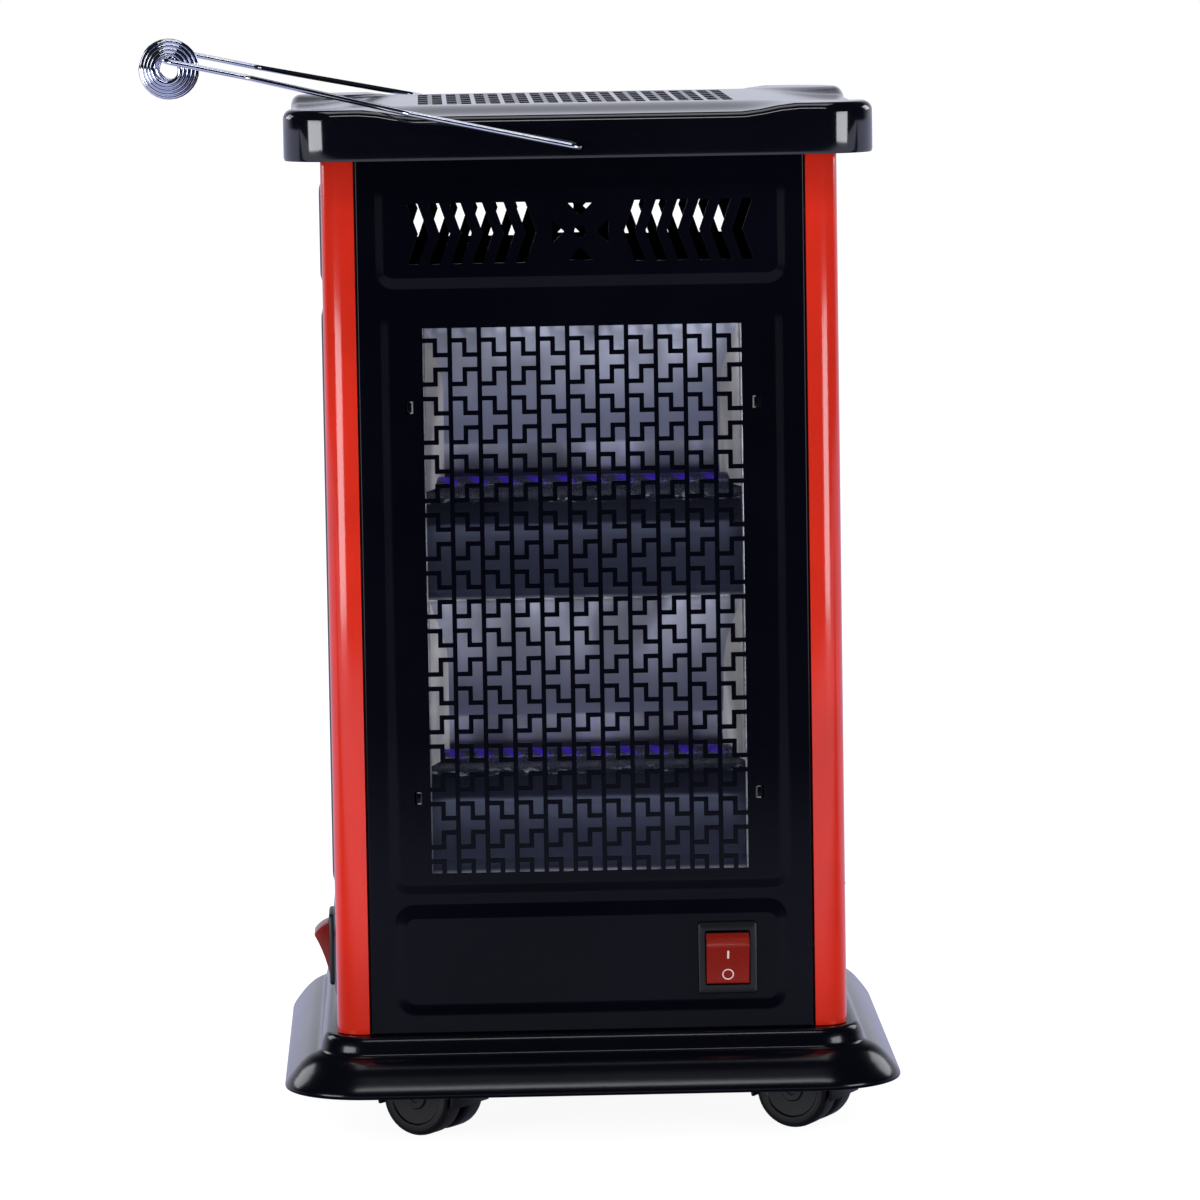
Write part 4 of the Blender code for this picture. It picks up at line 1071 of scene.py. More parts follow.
@dataclass
class SidePanels:
    """The four stamped side panels with their grille, vents and switch opening."""

    shop: Workshop
    face: float = 109.0 * MM
    half: float = 95.2 * MM
    low: float = 3.8 * MM
    high: float = 392.6 * MM
    sheet: float = 1.0 * MM
    fold: float = 1.3 * MM
    depth: float = 9.0 * MM
    vent_level: float = 346.0 * MM
    vent_half: float = 12.8 * MM
    vent_start: float = -73 * MM
    vent_pitch: float = 9.1 * MM
    gland: Flat = (-50 * MM, 29.5 * MM)
    gland_radius: float = 6.6 * MM
    switch: tuple[Flat, Flat] = ((46.7 * MM, 20.2 * MM), (69.3 * MM, 48.8 * MM))
    slot_half: Flat = (1.6 * MM, 2.6 * MM)
    slot_places: tuple[Flat, ...] = ((73.6 * MM, 272.5 * MM), (72.8 * MM, 105.5 * MM))
    grille: Grille = field(
        default_factory=lambda: Grille(TROUGHS[0], TROUGHS[0] + 2 * TROUGHS[1], rows=38)
    )
    fields: dict[str, EmbossedField] = field(
        default_factory=lambda: {
            "lower": EmbossedField(84.5 * MM, 11.0 * MM, 59.5 * MM),
            "middle": EmbossedField(86.5 * MM, 63.0 * MM, 316.0 * MM),
            "vent": EmbossedField(88.0 * MM, 322.0 * MM, 370.0 * MM),
        }
    )

    def slots(self) -> list[Loop]:
        """The four lanced slots beside the window."""
        places, (a, b) = [(s * u, v) for u, v in self.slot_places for s in (-1, 1)], self.slot_half
        return [rectangle(u - a, v - b, u + a, v + b) for u, v in places]

    def lugs(self) -> Mesh:
        """The four bent lugs that sit in the slots.

        Returns:
            Their mesh.
        """
        half, wall, depth, clear, sunk = (k * MM for k in (0.95, 0.8, 4.0, 0.5, 1.0))
        face = -self.face - sunk
        parts = []
        for (left, low), (right, _), (_, high), _ in self.slots():
            a, b = (left + right) / 2 - half, (left + right) / 2 + half
            outline = [(a, face), (b, face), (b, face + wall)]
            outline += [(a + wall, face + wall), (a + wall, face + depth), (a, face + depth)]
            parts.append(prism(outline, low + clear, high - clear, Along.Z))
        return refined(merged(parts), bevel=0.2 * MM)

    def chevron(self) -> Loop:
        """One chevron slot, from its upper left corner at zero.

        Returns:
            Its outline.
        """
        slot, reach, mid = 4.4 * MM, 4.5 * MM, self.vent_level
        high, low, tip = mid + self.vent_half, mid - self.vent_half, slot + reach
        return [(0.0, high), (slot, high), (tip, mid), (slot, low), (0.0, low), (reach, mid)]

    def centre_motif(self) -> list[Loop]:
        """The four triangles that point to the middle of the vent, and the round hole there.

        Returns:
            Their outlines.
        """
        outer, tip, half, hole = 12 * MM, 6.8 * MM, 5 * MM, 2.5 * MM
        loops = []
        for turn in QUARTERS:
            points = [turn @ Vector(point) for point in ((outer, -half), (outer, half), (tip, 0.0))]
            loops.append([(point.x, point.y + self.vent_level) for point in points])
        return [*loops, circle((0.0, self.vent_level), hole, 16)]

    def flats(self, drilled: bool) -> dict[str, Mesh]:
        """The punched flat of each field, in X and Y.

        Args:
            drilled: Whether the lower one has the hole for the cord's gland.

        Returns:
            The flats by field.
        """
        inner = {name: one.loop(one.shoulder + one.lap) for name, one in self.fields.items()}
        gland = [circle(self.gland, self.gland_radius)] if drilled else []
        (left, low), (right, high) = self.switch
        hole = [rectangle(left, low, right, high)]
        vents = {"Count": 6, "Start": self.vent_start, "Pitch": self.vent_pitch, "Mirrored": True}
        motif = [inner["vent"], *self.centre_motif()]
        return {
            "middle": self.grille.sheet(self.shop, [inner["middle"], *self.slots()]),
            "vent": self.shop.punched(motif, [self.chevron()], **vents),
            "lower": self.shop.punched([inner["lower"], *gland], hole, Count=1),
        }

    def sheet_skin(self, drilled: bool) -> Mesh:
        """The outer skin of a panel at the front, before it gets its thickness.

        Args:
            drilled: Whether it has the hole for the cord's gland.

        Returns:
            The skin.
        """
        edge, face = self.half - self.fold, -self.face
        loops = [rectangle(-edge, self.low, edge, self.high)]
        loops += [one.loop(-one.lap) for one in self.fields.values()]
        bm = bmesh.new()
        verts = [bm.verts.new((u, face, v)) for loop in loops for u, v in loop]
        flat = [[Vector((u, v, 0.0)) for u, v in loop] for loop in loops]
        for corners in tessellate_polygon(flat):
            bm.faces.new([verts[i] for i in corners])
        for one in self.fields.values():
            rings = [
                [bm.verts.new((u, face - height, v)) for u, v in one.loop(inset)]
                for inset, height in one.levels()
            ]
            for outer, inner in zip(rings, rings[1:]):
                bridge(bm, outer, inner)
        for name, mesh in self.flats(drilled).items():
            level = face - self.fields[name].rise
            mesh.transform(Matrix(((1, 0, 0, 0), (0, 0, 1, level), (0, 1, 0, 0), (0, 0, 0, 1))))
            bm.from_mesh(mesh)
            bpy.data.meshes.remove(mesh)
        turned = arc((edge, face + self.fold), self.fold, -90, 0, 4)
        turned.append((self.half, face + self.depth))
        for sign in (-1, 1):
            low, high = (
                [bm.verts.new((sign * u, y, z)) for u, y in turned] for z in (self.low, self.high)
            )
            bridge(bm, low, high, ring=False)
        return open_sheet(bm, (0, -1, 0))

    def build(self) -> None:
        """Makes the panel with and without the gland's hole and sets it on all four sides."""
        sheets = {
            drilled: refined(
                self.sheet_skin(drilled), wall=self.sheet, bevel=0.14 * MM, segments=1, angle=50
            )
            for drilled in (False, True)
        }
        lugs = self.lugs()
        for side in Side:
            panel = f"{side.label}_panel"
            mesh = sheets[side is Side.REAR]
            show(f"{panel}_sheet", mesh, PANEL_ENAMEL, CHASSIS, [panel], side.turn, angle=30)
            show(f"{panel}_lugs", lugs, PANEL_ENAMEL, turn=side.turn)


@dataclass
class CornerPosts:
    """The red channels at the column's corners."""

    outside: float = 109.5 * MM
    leg: float = 14 * MM
    radius: float = 11 * MM
    wall: float = 1.8 * MM
    back: float = 9 * MM
    low: float = 3.8 * MM
    high: float = 396.7 * MM

    def build(self) -> None:
        """Makes one post and sets it at all four corners."""
        out, wall = self.outside, self.wall
        edge, deep, inside = out - self.leg, out - self.back, out - wall
        centre = (out - self.radius, out - self.radius)
        outline = [(out, edge), *arc(centre, self.radius, 0, 90, 16)]
        outline += [(edge, out), (edge, deep), (edge + wall, deep), (edge + wall, inside)]
        outline += arc(centre, self.radius - wall, 90, 0, 12)
        outline += [(inside, edge + wall), (deep, edge + wall), (deep, edge)]
        post = refined(prism(outline, self.low, self.high, Along.Z), bevel=0.3 * MM)
        for corner in Corner:
            angle = math.atan2(corner.value[1], corner.value[0]) - math.pi / 4
            turn = Matrix.Rotation(angle, 4, "Z")
            name = corner.label
            show(f"post_{name}", post, RED_ENAMEL, CHASSIS, [f"corner_post_{name}"], turn)


@dataclass
class TopCover:
    """The cap with its grille, raised corners and dipped sides."""

    shop: Workshop
    half: float = 124.75 * MM
    bottom: float = 377.5 * MM
    top: float = 399.0 * MM
    corner: float = 24 * MM
    edge: float = 4 * MM
    hem: Flat = (0.4 * MM, 1.2 * MM)
    wall: float = 1.4 * MM
    dip: float = 3.2 * MM
    dip_half: float = 80 * MM
    ramp: float = 24 * MM
    plateau: float = 75.0 * MM
    pivot_radius: float = 1.9 * MM
    grille: Grille = field(
        default_factory=lambda: Grille(-WINDOW_HALF, WINDOW_HALF, rows=22)
    )

    def drop(self, x: float, y: float) -> float:
        """How far the top lies below the plateau at a place.

        Args:
            x: The place along X.
            y: The place along Y.

        Returns:
            The drop at full depth of the dips.
        """
        out, along = max(abs(x), abs(y)), min(abs(x), abs(y))
        slope = eased((out - self.plateau) / (self.half - self.edge - self.plateau))
        return self.dip * slope * eased((self.dip_half + self.ramp / 2 - along) / self.ramp)

    def ring(self, half: float, level: float, dips: float) -> list[Vector]:
        """A ring of the cap, square at the plateau and round at the rim.

        Args:
            half: Half its width.
            level: Its height where nothing dips.
            dips: The share of the dips' depth.

        Returns:
            The ring.
        """
        share = min(max((half - self.plateau) / (self.half - self.plateau), 0.0), 1.0)
        radius = max(self.corner * share, 1.5 * MM)
        last, count = half - radius, 26
        line = [(half, -last + 2 * last * i / count) for i in range(count + 1)]
        line += arc((last, last), radius, 0, 90, 9)[1:-1]
        places = [turn @ Vector(point) for turn in QUARTERS for point in line]
        return [Vector((x, y, level - dips * self.drop(x, y))) for x, y in places]

    def build(self) -> None:
        """Makes the cap: the punched plateau, the skin round it and the pivot holes."""
        rim = [(point.x, point.y) for point in self.ring(self.plateau, self.top, 0.0)]
        flat = self.grille.sheet(self.shop, [rim])
        flat.transform(Matrix.Translation((0, 0, self.top)))
        crown, steps = self.half - self.edge, 12
        widths = [self.plateau + (crown - self.plateau) * (i / steps) for i in range(steps + 1)]
        rings = [self.ring(width, self.top, 1.0) for width in widths]
        for out, down in arc((0.0, 0.0), self.edge, 78, 0, 6):
            rings.append(self.ring(crown + out, self.top - self.edge + down, 1.0))
        for inset, rise in ((0.0, self.hem[1]), (self.hem[0], 0.0)):
            rings.append(self.ring(self.half - inset, self.bottom + rise, 0.0))
        bm = skin(rings)
        bm.from_mesh(flat)
        hole = circle((0.0, PIVOT_LEVEL), self.pivot_radius)
        near, far = 118 * MM, 130 * MM
        cutters = [prism(hole, side * near, side * far, Along.Y) for side in (-1, 1)]
        cap = refined(open_sheet(bm, (0, 0, 1)), wall=self.wall, cutters=cutters)
        show("cover_cap", cap, BLACK_ENAMEL, CHASSIS, ["top_cover"], angle=34)


@dataclass
class BasePan:
    """The bell-shaped base.

    Its profile is in shares of the skirt's spread and height, a boss's in millimetres.
    """

    deck_half: float = 113 * MM
    deck_top: float = 3.5 * MM
    rim_half: float = 132.5 * MM
    rim_low: float = -20.5 * MM
    wall: float = 2 * MM
    lip: Flat = (2.6 * MM, 0.3 * MM)
    inner_drop: float = 0.6 * MM
    stem_radius: float = 5.3 * MM
    boss: tuple[Flat, ...] = (
        (5.3, 3.0), (9.3, 3.0), (9.3, 11.2), (9.0, 11.5), (5.6, 11.5), (5.3, 11.2),
    )
    corner_radii: Flat = (18 * MM, 36 * MM)
    profile: tuple[Flat, ...] = (
        (0.00, 1.00), (0.06, 0.985), (0.12, 0.93), (0.165, 0.84), (0.19, 0.75), (0.215, 0.695),
        (0.27, 0.655), (0.36, 0.625), (0.48, 0.575), (0.60, 0.500), (0.71, 0.410), (0.81, 0.310),
        (0.90, 0.215), (0.965, 0.135), (1.00, 0.070), (0.99, 0.020), (0.955, 0.00),
    )

    def ring(self, half: float, level: float) -> list[Vector]:
        """A ring of the pan, rounder in plan towards the rim.

        Args:
            half: Half its width.
            level: Its height.

        Returns:
            The ring.
        """
        share = (half - self.deck_half) / (self.rim_half - self.deck_half)
        deck, rim = self.corner_radii
        radius = deck + (rim - deck) * share
        return [Vector((x, y, level)) for x, y in rounded(half, -half, half, radius, 14)]

    def build(self) -> None:
        """Makes the pan, its inner skin and the bosses for the castor stems."""
        spread, height = self.rim_half - self.deck_half, self.deck_top - self.rim_low
        line = smoothed(self.profile, 3)
        outer = [(self.deck_half + u * spread, self.rim_low + v * height) for u, v in line]
        inner = [(self.rim_half - self.lip[0], self.rim_low + self.lip[1])]
        # The inner skin follows every third ring of the bell, from the rim up to the deck.
        for half, level in outer[-10:18:-3]:
            inner.append((half - self.wall, level - self.inner_drop))
        inner.append((self.deck_half - 1.0 * MM, 0.0))
        bm = skin([self.ring(half, level) for half, level in outer + inner], caps=True)
        boss = [(radius * MM, level * MM) for radius, level in self.boss]
        spots = [corner.spot() for corner in Corner]
        holes = [circle(spot, self.stem_radius) for spot in spots]
        bores = [prism(hole, -8 * MM, 20 * MM, Along.Z) for hole in holes]
        pan = refined(as_mesh(bm), cutters=bores)
        bosses = [lathe(boss, 32, Along.Z, (*spot, 0.0)) for spot in spots]
        show("pan_shell", merged([pan, *bosses]), PAN_GLOSS, CHASSIS, ["base_pan"], angle=30)


# ---- handle


@dataclass
class WireHandle:
    """The folding wire handle and its wound grip."""

    shop: Workshop
    wire: float = 1.2 * MM
    sides: int = 14
    rest: float = 12.15
    pin: float = 117.25 * MM
    side: float = 128.95 * MM
    shoulder: float = 73 * MM
    slant: float = 70 * MM
    grip_half: float = 80 * MM
    grip: float = 178.9 * MM
    bends: tuple[float, ...] = (4 * MM, 8 * MM, 8 * MM, 4 * MM)
    bend_steps: int = 10
    turns: int = 9
    coil_length: float = 38 * MM
    small: float = 5.4 * MM
    large: float = 12.6 * MM
    ease: float = 3 * MM
    ease_steps: int = 6
    per_turn: int = 28

    def bend(self, before: Vector, corner: Vector, after: Vector, radius: float) -> list[Vector]:
        """Points of a round bend in place of a corner.

        Args:
            before: The stop before the corner.
            corner: The corner.
            after: The stop after it.
            radius: The bend's radius.

        Returns:
            The points.
        """
        back, ahead = (before - corner).normalized(), (after - corner).normalized()
        half = back.angle(ahead) / 2
        middle = corner + (back + ahead).normalized() * (radius / math.sin(half))
        reach = radius / math.tan(half)
        first, last = corner + back * reach - middle, corner + ahead * reach - middle
        shares = (i / self.bend_steps for i in range(self.bend_steps + 1))
        return [middle + first.slerp(last, share) * radius for share in shares]

    def coil(self) -> list[Vector]:
        """The grip's turns about its own axis along Y, widest in the middle.

        Returns:
            The wire's points.
        """
        lead = math.atan2(self.coil_length / self.turns, 2 * math.pi * self.small)
        leads = [(math.pi / 2 - lead) * i / self.ease_steps for i in range(self.ease_steps)]
        begin = [
            (self.ease * (1 - math.cos(angle)) / self.small, self.ease * math.sin(angle))
            for angle in leads
        ]
        turned = self.ease * (1 - math.sin(lead)) / self.small
        climbed = self.ease * math.cos(lead)
        total, start = 2 * math.pi * self.turns, -self.coil_length / 2
        samples = [(a, start - climbed + y, self.small) for a, y in begin]
        count = self.turns * self.per_turn
        for share in (i / count for i in range(count + 1)):
            radius = self.small + (self.large - self.small) * (1 - abs(2 * share - 1))
            angle = turned + (total - 2 * turned) * share
            samples.append((angle, start + self.coil_length * share, radius))
        samples += [(total - a, climbed - start - y, self.small) for a, y in reversed(begin)]
        turns = ((math.pi / 2 - angle, at, radius) for angle, at, radius in samples)
        return [Vector((r * math.cos(turn), at, r * math.sin(turn))) for turn, at, r in turns]

    def path(self) -> list[Vector]:
        """The wire's whole line, flat along +X from the pivot.

        Returns:
            Its points.
        """
        axis = Vector((self.grip, 0.0, -self.small))
        coil = [axis + point for point in self.coil()]
        places = [
            (0.0, -self.pin),
            (0.0, -self.side),
            (self.shoulder, -self.side),
            (self.shoulder + self.slant, -self.grip_half),
            (self.grip, -self.grip_half),
        ]
        stops = [*(Vector((x, y, 0.0)) for x, y in places), coil[0]]
        line = stops[:1]
        for i, radius in enumerate(self.bends):
            line += self.bend(*stops[i : i + 3], radius)
        mirrored = [Vector((point.x, -point.y, point.z)) for point in line]
        return line + coil + mirrored[::-1]

    def build(self) -> None:
        """Draws the wire and lays it in its rest position."""
        bm = bmesh.new()
        verts = [bm.verts.new(point) for point in self.path()]
        for pair in zip(verts, verts[1:]):
            bm.edges.new(pair)
        wire = self.shop.wire.run(as_mesh(bm), CHROME, Wire_Radius=self.wire, Sides=self.sides)
        turn = Matrix.Rotation(math.pi, 4, "Z") @ Matrix.Rotation(math.radians(-self.rest), 4, "Y")
        rest = Matrix.Translation((0, 0, PIVOT_LEVEL)) @ turn
        show("handle_wire", wire, CHROME, "handle", ["handle"], rest, angle=60)


# ---- heating elements


@dataclass
class Elements:
    """The reflectors, quartz tubes, wound wires, end plates and holders."""

    shop: Workshop
    window_low: float = TROUGHS[0]
    trough: float = TROUGHS[1]
    flange_face: float = 109.2 * MM
    back: float = 75.7 * MM
    sheet: float = 0.8 * MM
    flange: float = 3 * MM
    half: float = 71.5 * MM
    strips: int = 12
    below: float = 13.5 * MM
    lip_depth: float = 4 * MM
    tube_radius: float = 5.9 * MM
    tube_wall: float = 1 * MM
    tube_axis: float = 85.5 * MM
    tube_half: float = 76.8 * MM
    coil_radius: float = 3.4 * MM
    coil_wire: float = 0.35 * MM
    coil_turns: float = 56.0
    top_floor: float = 363.5 * MM
    top_tube: float = 372.5 * MM
    ceiling: float = 395.9 * MM
    liner_near: float = 66.6 * MM
    liner_far: float = 59.0 * MM
    liner_bend: float = 0.35

    @property
    def lip(self) -> float:
        """How far out the troughs' lips stand."""
        return self.flange_face - self.lip_depth

    def levels(self) -> dict[str, float]:
        """Height of the lower and the upper tube."""
        low = self.window_low + self.trough / 2 - self.below
        return {"lower": low, "upper": low + self.trough}

    def trough_line(self, level: float) -> Loop:
        """One trough's section, from its upper lip to its lower lip.

        Args:
            level: Its tube's height.

        Returns:
            Outward place and height of its points.
        """
        low = self.window_low + self.trough * (level > self.window_low + self.trough)
        floor = ((14, 38), (5, 20), (0.4, 8), (0, 0), (0.8, -8), (13, -27))
        line = [(self.back + out * MM, level + up * MM) for out, up in floor]
        return smoothed([(self.lip, low + self.trough), *line, (self.lip, low)], 5)

    def side_sheet(self) -> Mesh:
        """The double trough behind the front grille.

        Returns:
            Its mesh.
        """
        levels, face, edges = self.levels(), self.flange_face, (self.flange, self.sheet)
        low, high = self.window_low, self.window_low + 2 * self.trough
        line = [(face, high + edge) for edge in edges] + self.trough_line(levels["upper"])
        line += self.trough_line(levels["lower"])[1:]
        line += [(face, low - edge) for edge in reversed(edges)]
        return self.bent_sheet([(-out, level) for out, level in line], (0, -1, 0))

    def top_sheet(self) -> Mesh:
        """The single trough under the cover.

        Returns:
            Its mesh.
        """
        floor, flange = self.top_floor, self.ceiling
        rise = [(-68 * MM, flange), (-28 * MM, floor + 4.2 * MM), (-10 * MM, floor), (0.0, floor)]
        line = smoothed(rise, 5)
        line += [(-y, z) for y, z in reversed(line[:-1])]
        return self.bent_sheet([(-71 * MM, flange), *line, (71 * MM, flange)], (0, 0, 1))

    def bent_sheet(self, line: Loop, towards: Triple) -> Mesh:
        """A sheet bent along a line in Y and Z.

        Args:
            line: The line of its visible face.
            towards: The direction that this face looks in.

        Returns:
            The sheet, with its thickness behind the line.
        """
        bm = bmesh.new()
        places = [-self.half + 2 * self.half * i / self.strips for i in range(self.strips + 1)]
        rows = [[bm.verts.new((x, y, z)) for y, z in line] for x in places]
        for first, second in zip(rows, rows[1:]):
            bridge(bm, first, second, ring=False)
        return refined(open_sheet(bm, towards), wall=self.sheet)

    def end_liner(self, level: float, side: int) -> Mesh:
        """The bent light plate that closes one end of a trough above its tube.

        Args:
            level: The tube's height.
            side: -1 for the left end, 1 for the right one.

        Returns:
            Its mesh.
        """
        line = [point for point in self.trough_line(level) if point[1] > level + 1 * MM]
        depth, lean = self.liner_bend * (self.lip - self.back), self.liner_far - self.liner_near
        bm = bmesh.new()
        rows = []
        for edge in (line, [(self.lip, z) for _, z in line]):
            leans = [lean * min(1.0, (self.lip - out) / depth) for out, _ in edge]
            places = [(side * (self.liner_near + x), -out, z) for x, (out, z) in zip(leans, edge)]
            rows.append([bm.verts.new(place) for place in places])
        bridge(bm, *rows, ring=False)
        return refined(open_sheet(bm, (0, -1, 0), 0.01 * MM), wall=0.5 * MM)

    def ridge(self) -> Mesh:
        """The rolled bead along the ridge between both troughs.

        Returns:
            Its mesh.
        """
        core, rim = 0.1 * MM, 0.55 * MM
        profile = [(core, -self.half), (rim, -self.half), (rim, self.half), (core, self.half)]
        centre = (0.0, -self.lip - 0.2 * MM, self.window_low + self.trough)
        return lathe(profile, 12, Along.X, centre)

    def cheek(self, side: int) -> Mesh:
        """The folded bright strip that stands behind one edge of the window.

        Args:
            side: -1 for the left edge, 1 for the right one.

        Returns:
            Its mesh.
        """
        low, high = self.window_low + 0.6 * MM, self.window_low + 2 * self.trough - 0.6 * MM
        fold = ((68.9, 0.4), (68.2, 0.5), (67.5, 0.9), (67.1, 1.8), (67.0, 3.2))
        outline = [(side * u * MM, depth * MM - self.flange_face) for u, depth in fold]
        outline += [(u + side * 0.5 * MM, y + 0.5 * MM) for u, y in reversed(outline)]
        return refined(prism(outline, low, high, Along.Z), bevel=0.08 * MM)

    def tube(self, centre: Flat) -> Mesh:
        """An open quartz tube along X with fire-rounded ends.

        Args:
            centre: Where its axis lies in Y and Z.

        Returns:
            Its mesh.
        """
        r, w, e = self.tube_radius, self.tube_wall, self.tube_half
        end = [(r - w, e - 0.3 * MM), (r - 0.3 * MM, e), (r, e - 0.4 * MM)]
        profile = [(radius, -at) for radius, at in end] + end[::-1]
        return lathe(profile, 36, Along.X, (0.0, *centre))

    def winding(self, centre: Flat) -> Mesh:
        """The wound wire inside a tube.

        Args:
            centre: Where its axis lies in Y and Z.

        Returns:
            Its mesh.
        """
        mesh = self.shop.winding.run(
            bpy.data.meshes.new("carrier"),
            WIRE_GREY,
            Turns=self.coil_turns,
            Length=2 * self.tube_half - 8 * MM,
            Coil_Radius=self.coil_radius,
            Wire_Radius=self.coil_wire,
            Points=12,
            Sides=5,
        )
        mesh.transform(Matrix.Translation((0.0, *centre)) @ Matrix.Rotation(math.pi / 2, 4, "Y"))
        return mesh

    def plugs(self, centre: Flat) -> Mesh:
        """The ceramic plugs in both ends of a tube.

        Args:
            centre: Where the tube's axis lies in Y and Z.

        Returns:
            Their mesh.
        """
        bore, neck, head = 0.4 * MM, 4.6 * MM, 5.6 * MM
        parts = []
        for sign in (-1, 1):
            a, b, c = (sign * (self.tube_half + d * MM) for d in (-4.0, 0.2, 2.2))
            profile = [(bore, a), (neck, a), (neck, b), (head, b), (head, c), (bore, c)]
            parts.append(lathe(profile, 24, Along.X, (0.0, *centre)))
        return refined(merged(parts), bevel=0.25 * MM)

    def build(self) -> None:
        """Builds the four sides' elements and those under the cover."""
        levels, ends = self.levels(), (-1, 1)
        places = {f"_{name}": (-self.tube_axis, z) for name, z in levels.items()}
        sets = {name: self.element(place) for name, place in places.items()}
        sheet, ridge = self.side_sheet(), self.ridge()
        liners = merged(self.end_liner(z, end) for z in levels.values() for end in ends)
        cheeks = merged(self.cheek(end) for end in ends)
        for side in Side:
            label, turn = side.label, side.turn
            show(f"{label}_trough_sheet", sheet, SIDE_SHEET, CHASSIS, [f"{label}_reflector"], turn)
            show(f"{label}_trough_ends", liners, LINER, turn=turn)
            show(f"{label}_window_cheeks", cheeks, CHEEK, turn=turn)
            show(f"{label}_trough_ridge", ridge, CHEEK, turn=turn)
            for name, meshes in sets.items():
                self.show_element(label, name, meshes, turn)
        show("top_trough_sheet", self.top_sheet(), TOP_SHEET, CHASSIS, ["top_reflector"])
        self.show_element("top", "", self.element((0.0, self.top_tube)), None)
        for label in (*(side.label for side in Side), "top"):
            for end in "ab":
                dress_node(f"{label}_tube_holder_{end}", CERAMIC)

    def element(self, centre: Flat) -> tuple[Mesh, Mesh, Mesh]:
        """A tube, its winding and its plugs, with their axis at a place in Y and Z."""
        return self.tube(centre), self.winding(centre), self.plugs(centre)

    def show_element(
        self, label: str, name: str, meshes: tuple[Mesh, Mesh, Mesh], turn: Matrix | None
    ) -> None:
        """Puts a tube with its winding and plugs into the scene.

        Args:
            label: The side, or top.
            name: Which of the side's tubes, from its underscore on, or nothing.
            meshes: The tube, its winding and its plugs.
            turn: A turn for the meshes.
        """
        tube, winding, plugs = meshes
        show(f"{label}_tube{name}", tube, QUARTZ, CHASSIS, [f"{label}_quartz_tube{name}"], turn)
        show(f"{label}_winding{name}", winding, WIRE_GREY, turn=turn)
        show(f"{label}_plugs{name}", plugs, CERAMIC, turn=turn)


# ---- switches


